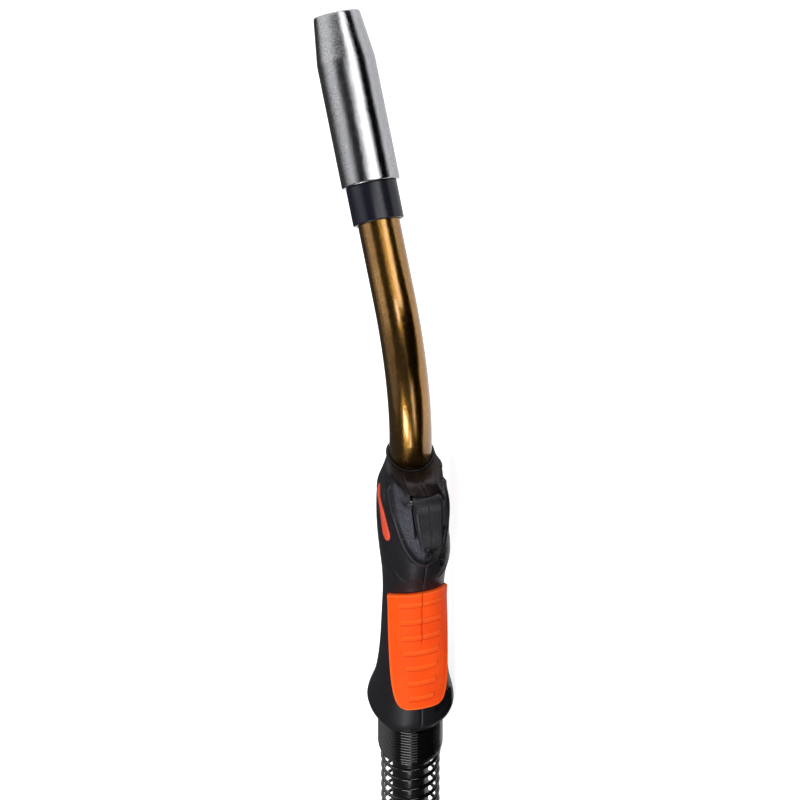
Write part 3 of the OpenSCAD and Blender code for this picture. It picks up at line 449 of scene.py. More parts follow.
def outline(x):
    """Front, back and half width at x, on a cubic through the stations."""
    t = np.clip(np.asarray(x, dtype=float) / HANDLE, 0, 1)
    i = np.clip(np.searchsorted(STATIONS[:, 0], t, side="right") - 1, 0, len(STATIONS) - 2)
    slopes = np.zeros_like(STATIONS)
    slopes[1:-1] = (STATIONS[2:] - STATIONS[:-2]) / (STATIONS[2:, :1] - STATIONS[:-2, :1])
    a, b = STATIONS[i], STATIONS[i + 1]
    d = b[..., :1] - a[..., :1]
    s = (t[..., None] - a[..., :1]) / d
    value = a * (2 * s**3 - 3 * s**2 + 1) + b * (3 * s**2 - 2 * s**3)
    value = value + d * (slopes[i] * (s**3 - 2 * s**2 + s) + slopes[i + 1] * (s**3 - s**2))
    return value[..., 1], value[..., 2], value[..., 3]


def bend_power(v):
    return np.sign(v) * np.abs(v) ** (2 / SECTION_POWER)


def skin(x, angle, rise=0.0):
    """Point of the handle at x and an angle from the front, proud of it by rise: a superellipse of
    power 2.2 whose middle lies half way between front and back."""
    front, back, half = (value + rise for value in outline(x))
    y = -((front - back) / 2 + (front + back) / 2 * bend_power(np.cos(angle)))
    return np.stack(np.broadcast_arrays(x, y, half * bend_power(np.sin(angle))), -1)


def on_skin(places, count, rise=0.0):
    """A smooth line over the skin through places of [x, degrees]."""
    line = through(places, count)
    return skin(line[:, 0], np.radians(line[:, 1]), rise)


def from_line(points, line):
    """Least distance of each point from a line of points, and where along the line it is nearest."""
    flat = points.reshape(-1, 3)
    gap = np.linalg.norm(flat[:, None] - line[None], axis=2)
    return gap.min(axis=1).reshape(points.shape[:-1]), gap.argmin(axis=1).reshape(points.shape[:-1])


SLOT_BACK, SLOT_FRONT, SLOT_HALF, SLOT_DEPTH = 129.5, 155.4, 6.6, 11.5
# Screw recesses in the right shell: distance from the rear rim, depth towards the front, and the
# length and depth by which each recess runs on from its screw
SCREWS = [[18.0, 12.7, -1.2, 5.1], [99.04, 13.0, 0.0, 0.0], [119.04, 15.5, 0.0, 0.0]]
RECESS_R, RECESS_LIP, RECESS_FLOOR = 2.75, 0.4, 6.45
NOSE_BACK, NOSE_SLANT = 2.7, 2.9


def nose_shift(angle):
    return NOSE_BACK + NOSE_SLANT * (0.5 + 0.5 * np.cos(angle)) ** 2


def slanted(points):
    """Draws the nose back: x falls by 2.7 and, towards the front, by 2.9 times ((1 + cos a) / 2) squared
    more, where a is the angle from the front. It does so in full at the nose and not behind the slot."""
    a = np.arctan2(points[..., 2], -points[..., 1])
    share = np.clip((points[..., 0] - SLOT_FRONT) / (HANDLE - SLOT_FRONT), 0, 1)
    shifted = points.copy()
    shifted[..., 0] -= share * nose_shift(a)
    return shifted


# Lines over the skin, as [x, degrees from the front]
RIDGE = [[150, 77], [146.8, 68], [141, 54], [135, 46], [127, 36], [121, 26], [116.2, 15], [113, 0]]
HOOD_EDGE = [[152.7, 117.6], [155.3, 90.5], [157.9, 68.4], [158.2, 51], [158, 42.2], [156.8, 41.5], [155.1, 37.1],
    [153.5, 30.4], [150.7, 22.8], [145.4, 15.6], [138.4, 11], [132.6, 8.1], [122, 4.9]]
CREASE = [[139, 112], [131, 98], [123.5, 84], [114.5, 74], [108.8, 62], [104, 47], [101, 38], [99, 22]]
SLIT = [[155.4, 58], [154.4, 52], [153.4, 46]]
KEYHOLE = [[111.4, 26], [108.8, 30]]
LINE_POINTS = 160
PIN_X, PIN_F = 151.0, 24.6


def flank(points, side):
    """Draws the right flank of the head in by up to 1.8, and fills the left shoulder by 0.6. Points
    within 8 of the middle stay, so the slot keeps its width."""
    x, z = points[..., 0], np.abs(points[..., 2])
    right = 1.8 * smooth(104, 124, x) * (1 - smooth(150, 158, x))
    left = -0.6 * smooth(136, 143, x) * (1 - smooth(153, 158, x))
    moved = points.copy()
    moved[..., 2] = (z - (right if side < 0 else left) * np.clip((z - 8) / 7, 0, 1)) * side
    return moved


def handle_half(name, side):
    """One shell of the handle. Rows run along X, and columns from the parting line at the front, over
    the trigger's slot, round the flank to the parting line at the back. In the slot the columns drop
    to its floor. Ridge, scoop, hood edge, grooves and crease are added to the skin's height by their
    distance from their lines."""
    x = spaced(0.0, HANDLE, 0.55, SLOT_BACK, SLOT_FRONT)
    half = outline(x)[2]
    slot_half = np.interp(x, [131.7, 148.0], [5.15, SLOT_HALF])
    edge = np.arcsin(np.minimum(1.0, (slot_half / half) ** (SECTION_POWER / 2)))
    near = np.concatenate([[0, 0.06], np.linspace(0.15, 0.96, 8)])
    far = np.concatenate([[0.0], np.linspace(0.0, 1.0, 118)[1:-1], [0.997, 1.0]])
    angle = np.concatenate([near[None, :] * edge[:, None], edge[:, None] + far[None, :] * (np.pi - edge)[:, None]], 1)
    at = np.broadcast_to(x[:, None], angle.shape)
    base = skin(at, angle)

    ridge_line, hood_line, crease_line = (on_skin(p, LINE_POINTS) for p in (RIDGE, HOOD_EDGE, CREASE))
    to_ridge, _ = from_line(base, ridge_line)
    to_hood, at_hood = from_line(base, hood_line)
    to_crease, at_crease = from_line(base, crease_line)
    degrees = np.degrees(angle)
    # Inside the ridge: nearer the front than the ridge is at this distance along the handle
    ridge_angle = np.interp(at, [p[0] for p in RIDGE[::-1]], [p[1] for p in RIDGE[::-1]])
    hood_angle = np.interp(at, [122.0, 132.6, 138.4, 145.4, 150.7, 153.5, 155.1, 156.8, 158.0, 158.2, 158.6],
        [4.9, 8.1, 11.0, 15.6, 22.8, 30.4, 37.1, 41.5, 42.2, 51.0, 130.0])
    inside = (degrees < ridge_angle) & (at > 113) & (at < 157.8)
    on_hood = (degrees < hood_angle) & (at > 122)
    in_scoop = inside & ~on_hood
    scoop = in_scoop * smooth(0.4, 3.2, to_ridge) * smooth(-0.2, 1.0, to_hood)
    scoop = scoop * (1 - smooth(152.5, 156, at))
    # A low boss covers the trigger's pin
    boss = bump(np.hypot(base[..., 0] - PIN_X, base[..., 1] + PIN_F), 2.8)
    scoop = scoop * (1 - boss)
    rise = 0.8 * bump(to_ridge, 0.9) - 1.5 * scoop
    rise += 0.5 * bump(np.hypot(base[..., 0] - RIDGE[0][0], 0.25 * (degrees - RIDGE[0][1])), 1.3)
    rise -= 0.35 * bump(to_ridge - 1.5, 0.5) * inside
    along_hood = at_hood / LINE_POINTS
    rise += 0.75 * bump(to_hood, 1.1) * smooth(0.02, 0.2, along_hood) * (1 - smooth(0.9, 1.0, along_hood))
    # Outside the ridge's upper end three fine grooves follow it
    for offset in (2.2, 3.3, 4.4, 5.5):
        fade = smooth(133, 145, at) * (1 - smooth(153, 156, at))
        rise -= 0.42 * bump(to_ridge - offset, 0.32) * ~inside * fade
    crease_fade = smooth(0, 12, at_crease) * (1 - smooth(140, 158, at_crease))
    rise -= 0.5 * bump(to_crease, 0.8) * crease_fade
    slit, _ = from_line(base, on_skin(SLIT, 30))
    rise -= 0.7 * bump(slit, 0.5)
    rise += 0.9 * boss
    parting = np.minimum(np.abs(base[..., 2]), 9.0)
    rise -= 0.28 * bump(parting, 0.22)
    keyhole = np.full_like(slit, 9.0)
    if side < 0:
        keyhole, _ = from_line(base, on_skin(KEYHOLE, 20))
        rise -= 1.2 * bump(keyhole, 0.7)
    points = skin(at, angle, rise * smooth(0, 1.5, at) * (1 - smooth(159, 160, at)))
    # Each screw stands at the bottom of a plain hole in the right shell: points inside its rim go down
    if side < 0:
        for place, depth, slide, drop in SCREWS:
            # Each recess is a rounded slot from its screw towards (slide, drop) beside it
            run = np.array([slide, drop])
            along = ((base[..., 0] - place) * slide + (-base[..., 1] - depth) * drop) / max(run @ run, 1e-9)
            along = np.clip(along, 0, 1)
            reach = np.hypot(base[..., 0] - place - along * slide, -base[..., 1] - depth - along * drop)
            sunk = (reach < RECESS_R + RECESS_LIP) & (base[..., 2] > RECESS_FLOOR)
            pull = np.clip((reach - RECESS_R) / RECESS_LIP, 0, 1)
            points[..., 2] = np.where(sunk, mix(RECESS_FLOOR, points[..., 2], pull), points[..., 2])

    # The slot: columns before the edge column lie on its floor
    floor = len(near)
    rows = (x >= SLOT_BACK) & (x <= SLOT_FRONT)
    points[rows, :floor, 1] = -SLOT_DEPTH
    points[rows, :floor, 2] = np.linspace(0, 1, floor)[None, :] * slot_half[rows, None]
    # The slot's walls stand square, clear of the trigger, also where the scoop lowers them
    wall = points[rows, floor:floor + 24, 2]
    points[rows, floor:floor + 24, 2] = np.maximum(wall, slot_half[rows, None])
    first, last = np.flatnonzero(rows)[[0, -1]]
    rim_rows = []
    for row, stand in ((first, SLOT_BACK), (last, SLOT_FRONT)):
        top = skin(np.full(angle.shape[1], stand), angle[row], rise[row])
        rim_rows.append(top)
    # Painted highlight along the ridge and the hood edge, carried to the finish by the edge mask
    bead_highlight = 0.9 * bump(to_ridge, 0.5) + 0.5 * bump(to_hood, 0.9)
    if side < 0:
        # Past the trigger's free end the right scoop lies in deep shade, which the slit mask paints near black
        slit = np.where(in_scoop & (at < 132.5), 0.0, slit)
    # The scoop mask carries a painted bluish sheen, the slit mask painted shade (slit, keyhole, under the trigger), and
    # the hood mask a painted reflection of the brass neck
    masks = {"scoop": np.clip(scoop, 0, 1), "edge": np.clip(bead_highlight, 0, 1),
        "slit": np.clip(1.3 * bump(slit, 0.55) + 1.3 * bump(keyhole, 0.8), 0, 1),
        "hood": on_hood * smooth(144, 151, at)}
    points = np.concatenate([points[:first], rim_rows[0][None], points[first:last + 1], rim_rows[1][None],
        points[last + 1:]])
    masks = {k: np.concatenate([m[:first], m[first][None], m[first:last + 1], m[last][None], m[last + 1:]])
        for k, m in masks.items()}

    # Rims turned in at both ends
    def ring(at_x, radius):
        a = angle[0 if at_x < 80 else -1]
        return np.stack([np.full_like(a, at_x), -radius * np.cos(a), radius * np.sin(a)], -1)[None]

    points = slanted(np.concatenate([ring(6, RIM - 0.9), ring(0.3, RIM - 0.85), ring(0.0, RIM - 0.5), points,
        ring(HANDLE, NOSE - 0.5), ring(HANDLE - 0.4, 9.45), ring(HANDLE - 8, 9.45)]))
    masks = {k: np.concatenate([np.zeros((3, m.shape[1])), m, np.zeros((3, m.shape[1]))]) for k, m in masks.items()}
    return surface(name, flank(points, side), flip=side < 0, **masks)


# Soft grips ---------------------------------------------------------------------------------------

PAD_START, PAD_END, PAD_WRAP, PAD_SEAT, PAD_THICK = 19.5, 91.2, 70.0, 0.2, 1.1
RIBS = 7
FIRST_RIB = PAD_START + 7.0
RIB_PITCH = (PAD_END - 10 - FIRST_RIB) / (RIBS - 1)


def grip_pad(name, side):
    """One soft grip. Its edge lies at 70 degrees times the 0.21st power of the distance from its rear
    end. Each rib stands proud on a bell across X, ends at an angle that grows forwards, and has a
    groove along its rear foot."""
    share = np.concatenate([[0.0, 0.0006, 0.002, 0.005, 0.01], np.linspace(0.018, 0.985, 190), [0.993, 1.0]])
    col = np.concatenate([[0.0, 0.008], np.linspace(0.02, 0.94, 42), [0.97, 0.99, 1.0]])
    reach = PAD_WRAP * np.maximum(share, 0.0004) ** 0.21
    degrees = reach[:, None] * col[None, :]
    # The forward edge curves back towards the flanks
    end = PAD_END - 7.0 * (degrees / PAD_WRAP) ** 2
    x = PAD_START + share[:, None] * (end - PAD_START)
    angle = np.radians(degrees)
    flat = skin(x, angle, PAD_SEAT)
    border = np.minimum.reduce([(1 - col)[None, :] * reach[:, None] * 0.26, (x - PAD_START) * 0.8 + 0.35,
        (end - x)])
    rise = PAD_SEAT + PAD_THICK * smooth(-0.35, 0.75, border) + 0.3 * bump(border - 0.9, 0.5)
    ribs = np.zeros_like(x)
    groove = np.zeros_like(x)
    for i in range(RIBS):
        middle = FIRST_RIB + i * RIB_PITCH + 2.5 * (i / 6) ** 5 - (degrees / 40.0) ** 2 * (0.4 + 0.25 * i)
        half = 15.5 + 0.46 * (middle - 25.0)
        ends = 1 - smooth(0.0, 2.6, degrees - half + 1.3)
        ribs = np.maximum(ribs, bump(x - middle, 1.25) * ends)
        groove = np.maximum(groove, bump(x - middle + 1.75, 0.45) * ends)
    rise = rise + 1.0 * ribs - 0.45 * groove
    parting = bump(flat[..., 2], 0.25)
    rise = rise - 0.35 * parting * smooth(56, 62, x)
    top = skin(x, angle, rise) * np.array([1.0, 1.0, side])
    under = skin(x, angle, PAD_SEAT - 0.6) * np.array([1.0, 1.0, side])
    # The edge mask marks where a highlight is painted: the raised rim and the ribs' tops
    edge = np.clip(bump(border - 0.8, 0.5) + 0.9 * bump(ribs - 0.55, 0.3) * (ribs > 0.2), 0, 1)
    # Over the top from one long side to the other, then back underneath
    points = np.concatenate([top, under[:, ::-1]], 1)
    # The groove mask marks painted shade at the ribs' rear feet, and the dark seam of the parting line
    both = {"edge": np.concatenate([edge, 0 * edge], 1),
        "groove": np.concatenate([np.clip(groove + parting * smooth(57, 62, x), 0, 1), 0 * edge], 1)}
    return surface(name, points, around=True, flip=side < 0, caps=True, **both)


# The inlay's middle line: distance along the handle, degrees from the front, and half width
INLAY_LINE = [[144.6, 103, 0.5], [143.7, 98, 0.9], [141.6, 91.5, 1.3], [139.2, 85.5, 1.8], [136.6, 80.5, 2.2],
    [133.6, 76, 2.6], [130.4, 72.5, 2.9], [127.2, 69.3, 3.1], [125.3, 67.6, 2.95], [124.2, 66.6, 2.45],
    [123.3, 65.8, 1.7], [122.85, 65.4, 1.0], [122.7, 65.3, 0.25]]


INLAY_POINTS = 140
# The right inlay lies further back round the flank, in degrees
RIGHT_INLAY_TURN = 20.0


def label_inlay(name, side):
    """A long drop on the flank: across its middle line it is crowned by sqrt(1 - v^6), and its half
    width grows from the pointed upper end to the round lower end."""
    line = through(INLAY_LINE, INLAY_POINTS)
    if side < 0:
        line[:, 1] += RIGHT_INLAY_TURN
    half = line[:, 2] * np.sqrt(np.clip(np.linspace(0, 1, INLAY_POINTS) / 0.02, 0.02, 1))
    middle = skin(line[:, 0], np.radians(line[:, 1]))
    along = np.gradient(middle, axis=0)
    along /= np.linalg.norm(along, axis=1, keepdims=True)
    out = skin(line[:, 0], np.radians(line[:, 1]), 1.0) - middle
    out /= np.linalg.norm(out, axis=1, keepdims=True)
    across = np.cross(along, out)
    v = np.sin(np.linspace(-np.pi / 2, np.pi / 2, 17))
    points = middle[:, None] + half[:, None, None] * v[None, :, None] * across[:, None]
    # Bring each point back onto the skin by its own x and depth
    front, back, wide = outline(points[..., 0])
    share = np.abs((-points[..., 1] - (front - back) / 2) / ((front + back) / 2))
    z = wide * np.maximum(0, 1 - share ** SECTION_POWER) ** (1 / SECTION_POWER)
    crown = np.sqrt(np.clip(1 - v ** 6, 0, 1))[None, :] * np.minimum(1, half / 0.8)[:, None]
    lift = 0.1 + (0.5 if side > 0 else 0.3) * crown
    top = points.copy()
    top[..., 2] = z + lift
    low = points.copy()
    low[..., 2] = z - 0.5
    ring = flank(np.concatenate([top, low[:, ::-1]], 1), side)
    return surface(name, ring, around=True, caps=True, flip=side < 0)


# Trigger --------------------------------------------------------------------------------------------

TRIGGER_ROUND = 1.15
TRIGGER_SIDE = [[154.9, 25.6], [155.0, 28.4], [153.6, 30.6], [150.8, 31.9], [147.0, 32.7], [140.5, 34.3], [135.5, 36.1],
    [133.2, 36.75], [132.1, 36.2], [131.7, 35.0], [132.6, 33.2], [134.8, 31.9], [137.4, 29.5], [141.0, 27.2],
    [146.0, 25.2], [149.0, 22.8], [151.5, 22.2], [153.8, 23.6]]


def trigger_paddle():
    """The trigger: its side outline is carried across Z, drawn in towards its middle near both flanks by
    r (1 - cos a) so that the edges are round, with a fine parting line in the middle."""
    loop = through(TRIGGER_SIDE + TRIGGER_SIDE[:1], 121)[:-1]
    centre = np.array([144.0, 30.0])
    tangent = np.roll(loop, -1, axis=0) - np.roll(loop, 1, axis=0)
    normal = np.stack([tangent[:, 1], -tangent[:, 0]], -1)
    normal /= np.linalg.norm(normal, axis=1, keepdims=True)
    if np.mean(np.sum(normal * (loop - centre), axis=1)) < 0:
        normal = -normal
    a = np.radians(np.linspace(90, 0, 8))
    inset = TRIGGER_ROUND * (1 - np.cos(a))
    shift = TRIGGER_ROUND * (1 - np.sin(a))
    mid = np.array([-0.55, -0.16, 0.0, 0.16, 0.55])
    level = np.repeat([-1.0, 0.0, 1.0], [len(a), len(mid), len(a)])
    draw = np.concatenate([inset, [0, 0, 0.09, 0, 0], inset[::-1]])
    back = np.concatenate([shift, 0 * mid, -shift[::-1]])
    flat = np.concatenate([0 * shift, mid, 0 * shift])
    half = np.interp(loop[:, 0], [131.7, 148.0, 155.0], [4.85, 6.25, 6.25])
    z = level[:, None] * half[None, :] + back[:, None] + flat[:, None]
    outline_points = loop[None] - draw[:, None, None] * normal[None]
    points = np.stack([outline_points[..., 0], -outline_points[..., 1], z], -1)
    worn = np.broadcast_to(bump(loop[None, :, 0] - 150.5, 3.0) * (loop[None, :, 1] > 29), z.shape)
    return surface("trigger_paddle", points, around=True, caps=True, edge=worn)


# Neck -----------------------------------------------------------------------------------------------

NECK_R, NECK_WALL = 9.3, 1.6
BEND, BEND_R, BEND_START = np.radians(50.0), 77.0, 165.0
NECK_FRONT = 33.8
FORWARD = np.array([np.cos(BEND), np.sin(BEND), 0.0])
FRONT = np.array([BEND_START + BEND_R * np.sin(BEND), BEND_R * (1 - np.cos(BEND)), 0.0]) + NECK_FRONT * FORWARD


def neck_line(low, beyond):
    """Straight from low to the bend, round it in 48 steps, and straight on past the neck's end."""
    a = np.linspace(0, BEND, 49)
    arc = np.stack([BEND_START + BEND_R * np.sin(a), BEND_R * (1 - np.cos(a)), 0 * a], -1)
    start = np.stack([np.linspace(low, BEND_START, 12)[:-1], np.zeros(11), np.zeros(11)], -1)
    ahead = FRONT + np.linspace(-NECK_FRONT, beyond, 16)[1:, None] * FORWARD
    return np.concatenate([start, arc, ahead])


def neck_pipe():
    """The neck tube: the outer wall from the root to its front end, then the inner wall back again."""
    line = neck_line(132.0, 14.0)
    up = np.tile([0.0, 0.0, 1.0], (len(line), 1))
    outer, inner = tube(line, up, NECK_R, 72), tube(line, up, NECK_R - NECK_WALL, 72)
    return surface("neck_pipe", np.concatenate([outer, inner[::-1], outer[:1]]), around=True)


def nose_collar():
    """A thin ring between the shells' nose and the neck, slanted with the nose."""
    corners = rounded([[160.1, 9.4], [160.1, 10.3], [160.9, 10.3], [160.9, 9.4]], 0.25)
    a = np.linspace(0, 2 * np.pi, 96, endpoint=False)[None, :]
    profile = np.concatenate([corners, corners[:1]])
    x = profile[:, :1] - nose_shift(a)
    rings = np.stack([x, -profile[:, 1:] * np.cos(a), profile[:, 1:] * np.sin(a)], -1)
    return surface("nose_collar", rings, around=True)


# Support spring and lead ----------------------------------------------------------------------------

WIRE = 1.6
CLOSE_RUN, CLOSE_PITCH, OPEN_CURLS, OPEN_PITCH = 20.35, 1.66, 14.0, 6.2


def spring_wire():
    """A wire on a helix: x falls by the pitch in each turn, first close and then open, while its radius
    narrows from 13.65 to 12.3 over four turns: (x, r sin 2 pi c, r cos 2 pi c)."""
    close = CLOSE_RUN / CLOSE_PITCH
    c = np.linspace(0, close + OPEN_CURLS, int((close + OPEN_CURLS) * 40) + 1)
    over = np.maximum(c - close, 0)
    ease = 0.5 * (over + np.sqrt(over ** 2 + 0.04) - 0.2)
    x = -0.95 - np.minimum(c, close) * CLOSE_PITCH - ease * OPEN_PITCH
    r = mix(13.65, 12.3, smooth(0, 1, np.clip((c - close + 2) / 4, 0, 1)))
    phase = 2 * np.pi * (c - close + 11)
    path = np.stack([x, r * np.sin(phase), r * np.cos(phase)], -1)
    out = np.stack([0 * c, np.sin(phase), np.cos(phase)], -1)
    return surface("support_curls", tube(path, out, WIRE / 2, 12), around=True, caps=True)


LEAD_R = 8.0
RUN = [[12, 18.9], [-10, 18.9], [-35, 18.9], [-60, 18.9], [-85, 18.9], [-105, 18.9], [-120, 18.1], [-135, 15.5],
    [-148, 11.9], [-157, 9.7], [-163, 9.3], [-169, 9.3]]
TAIL = [[-169, 25.9], [-163, 25.9], [-150, 25.3], [-135, 24.4], [-120, 23.6], [-105, 23.3], [-92, 23.8], [-82, 24],
    [-60, 24]]
COIL_X, COIL_Y, COIL_R, TURNS, STEP, LOW_Z = -185.0, -114.0, 114.0, 4.5, 16.6, 9.3


def coil_radius(t):
    return COIL_R - STEP * np.minimum(t, TURNS - t)


def lead_route():
    """The lead's middle line above the bench: the sagging run, 4.5 turns of a two-layer coil whose radius
    falls and grows by one step a turn, and the tail up to the connector."""
    t = np.linspace(0, TURNS, 217)
    a = np.radians(90 + 360 * t)
    s = np.clip((t - TURNS / 2) / 0.5 + 0.5, 0, 1)
    coil = np.stack([COIL_X + coil_radius(t) * np.cos(a), COIL_Y + coil_radius(t) * np.sin(a),
        LOW_Z + STEP * s * s * (3 - 2 * s)], -1)
    run = through([[q[0], 0, q[1]] for q in RUN], 44)
    tail = through([[q[0], 2 * COIL_Y, q[1]] for q in TAIL], 28)
    return np.concatenate([run, coil, tail])


def lead():
    route = lead_route()
    rings = tube(route, np.tile([0.0, 0.0, 1.0], (len(route), 1)), LEAD_R, 28)
    piece = surface("lead", rings, around=True, caps=True, origin=BENCH, size=(3.02, 0.05))
    return piece, [tuple(p) for p in metres(route, BENCH)]


def strap(angle_degrees):
    """A strap round the coil's turns: a band 12 wide carried round a rounded rectangle in the coil's
    section, pulled in a little between the turns by a cosine."""
    t0 = ((angle_degrees - 90) % 360) / 360
    radii = coil_radius(np.arange(t0, TURNS + 1e-9, 1.0))
    near, far = radii.min() - LEAD_R - 0.9, radii.max() + LEAD_R + 0.9
    low, high = 0.6, LOW_Z + STEP + LEAD_R + 0.9
    corner = 7.0
    corners = [(far - corner, low + corner, -90), (far - corner, high - corner, 0), (near + corner, high - corner, 90),
        (near + corner, low + corner, 180)]
    a = np.radians(np.linspace(0, 90, 10))
    arcs = [np.stack([x + corner * np.cos(np.radians(turn) + a), z + corner * np.sin(np.radians(turn) + a)], -1)
        for x, z, turn in corners]
    loop = np.concatenate(arcs)
    v = np.array([-1.0, -0.97, -0.9, 0.9, 0.97, 1.0, 1.0, 0.97, 0.9, -0.9, -0.97, -1.0])
    thick = np.array([0.25, 0.5, 0.6, 0.6, 0.5, 0.25, -0.25, -0.5, -0.6, -0.6, -0.5, -0.25])
    tangent = np.roll(loop, -1, axis=0) - np.roll(loop, 1, axis=0)
    normal = np.stack([tangent[:, 1], -tangent[:, 0]], -1)
    normal /= np.linalg.norm(normal, axis=1, keepdims=True)
    flat = loop[:, None] + thick[None, :, None] * normal[:, None]
    turn = np.radians(angle_degrees)
    radial, side = np.array([np.cos(turn), np.sin(turn)]), np.array([-np.sin(turn), np.cos(turn)])
    across = 6.0 * np.broadcast_to(v[None, :, None], (*flat.shape[:2], 1))
    level = np.array([COIL_X, COIL_Y]) + flat[..., :1] * radial + across * side
    points = np.concatenate([level, flat[..., 1:]], -1)
    points = np.concatenate([points, points[:1]])
    return surface("strap", points, around=True, origin=BENCH, size=(0.24, 0.028), flip=True)


# Assembly -----------------------------------------------------------------------------------------

set_camera()

LEAD_FINISH = gloss_black("lead_jacket", (0.0075, 0.0065, 0.0070), 0.26, 900.0, 0.2)
lead_piece, lead_path = lead()
dress(lead_piece, LEAD_FINISH, stands_for=("cable_run", "cable_coil", "cable_tail"))
straps = joined("coil_straps", [strap(angle) for angle in (0, 120, 240)])
dress(straps, woven_strap(), stands_for=("coil_ties",))
tuple(metres([0.0, 0.0, 0.0]))

SHELL = handle_plastic()
dress(handle_half("handle_shell_left", 1), SHELL, stands_for=("handle_left",))
dress(handle_half("handle_shell_right", -1), SHELL, stands_for=("handle_right",))
GRIP = soft_grip()
dress(grip_pad("soft_grip_left", 1), GRIP, stands_for=("grip_pad_left",))
dress(grip_pad("soft_grip_right", -1), GRIP, stands_for=("grip_pad_right",))
LABEL = label_finish()
dress(label_inlay("flank_inlay_left", 1), LABEL, stands_for=("label_inlay_left",))
dress(label_inlay("flank_inlay_right", -1), LABEL, stands_for=("label_inlay_right",))
dress(trigger_paddle(),
    moulded_plastic("trigger_plastic", (0.0125, 0.0120, 0.0155), (0.018, 0.0175, 0.0225), 0.33, 0.00012, 1700.0),
    "trigger", ("trigger",))
BRASS = polished_brass()
dress(neck_pipe(), BRASS, stands_for=("neck_tube",))
dress(nose_collar(), SHELL, stands_for=("neck_collar",))
dress(spring_wire(), gloss_black("coated_wire"), stands_for=("support_spring",))

nozzle_profile = rounded([[17, 11.4], [17, 12.9], [72, 12.9], [92.6, 10.35], [93, 9.6], [93, 8.8], [88.5, 8.8],
    [72, 11.3], [17, 11.3]], 0.9)
dress(lathe("nozzle_cup", nozzle_profile, FRONT, FORWARD), bright_chrome(), "nozzle", ("gas_nozzle",))
insulator_profile = rounded([[14.15, 9.4], [0.0, 9.4], [0, 11.25], [16.85, 11.25], [16.85, 10.9], [33, 10.9],
    [33, 7.65], [14.15, 7.65]], 0.7)
dress(lathe("insulator_cap", insulator_profile, FRONT, FORWARD),
    moulded_plastic("insulator_plastic", (0.0080, 0.0088, 0.0170), (0.0115, 0.0122, 0.0225), 0.24),
    stands_for=("nozzle_insulator",))

# Finishes of the CAD nodes that stay
COPPER = plain_metal("copper", (0.80, 0.34, 0.17), (0.50, 0.18, 0.08), 0.22)
STEEL = plain_metal("steel", (0.62, 0.62, 0.63), (0.42, 0.42, 0.44), 0.22)
ROUGH_BRASS = plain_metal("turned_brass", (0.72, 0.47, 0.16), (0.48, 0.28, 0.08), 0.2)
DARK = moulded_plastic("dark_plastic", (0.016, 0.016, 0.018), (0.024, 0.023, 0.026), 0.45)
RUBBER = moulded_plastic("rubber", (0.012, 0.012, 0.013), (0.020, 0.020, 0.021), 0.62, 0.00012, 1200.0)
PALE = moulded_plastic("pale_insulation", (0.62, 0.58, 0.50), (0.72, 0.68, 0.60), 0.4)
BLUE = moulded_plastic("wire_jacket", (0.02, 0.09, 0.32), (0.03, 0.13, 0.40), 0.35)
ORANGE = moulded_plastic("orange_plastic", (0.80, 0.11, 0.015), (0.88, 0.15, 0.03), 0.4)
NODE_FINISHES = {
    "nozzle_spring": STEEL, "gas_diffuser": ROUGH_BRASS, "contact_tip": COPPER, "neck_insulation": PALE,
    "neck_conductor": COPPER, "wire_liner": STEEL, "neck_nut": ROUGH_BRASS,
    "power_block": ROUGH_BRASS, "cable_crimp": COPPER, "cable_core": RUBBER, "handle_screws": STEEL,
    "trigger_pin": STEEL, "trigger_spring": STEEL, "switch_body": DARK,
    "switch_plunger": ORANGE, "switch_terminals": ROUGH_BRASS, "control_wires": BLUE, "spring_bush": DARK,
    "connector_boot": RUBBER, "connector_shell_upper": DARK, "connector_shell_lower": DARK,
    "connector_screws": STEEL, "connector_body": DARK, "connector_nut": DARK, "power_pin": ROUGH_BRASS,
    "pin_oring": RUBBER, "contact_pin_a": ROUGH_BRASS, "contact_pin_b": ROUGH_BRASS, "liner_nut": ROUGH_BRASS}
for node_name, finish in NODE_FINISHES.items():
    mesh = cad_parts[node_name].data
    mesh.materials.clear()
    mesh.materials.append(finish)


# Floor and light ----------------------------------------------------------------------------------

def floor():
    """A pale floor that reads as white to the camera and keeps a soft shadow."""
    half = 6000.0
    corners = np.array([[[-half, -half, -0.3], [-half, half, -0.3]], [[half, -half, -0.3], [half, half, -0.3]]])
    piece = surface("floor", corners, origin=BENCH, flip=True)
    f = Finish("pale_floor")
    rays = f.node("ShaderNodeLightPath", out="Is Camera Ray")
    shine = f.node("ShaderNodeLightPath", out="Is Glossy Ray")
    through_rays = f.node("ShaderNodeLightPath", out="Is Transmission Ray")
    seen = (rays + shine + through_rays).maths("MINIMUM", rays + shine + through_rays, 1.0)
    cloud = f.noise(3.0, 2.0)
    f.shader.inputs["Emission Strength"].default_value = 1.0
    glow = f.blend(seen * 0.48 + rays * 0.37, (0.0, 0.0, 0.0), (1.0, 1.0, 1.0))
    piece.data.materials.append(f.done((0.80, 0.80, 0.80), 0.85 + 0.05 * cloud, None, **{"Emission Color": glow}))


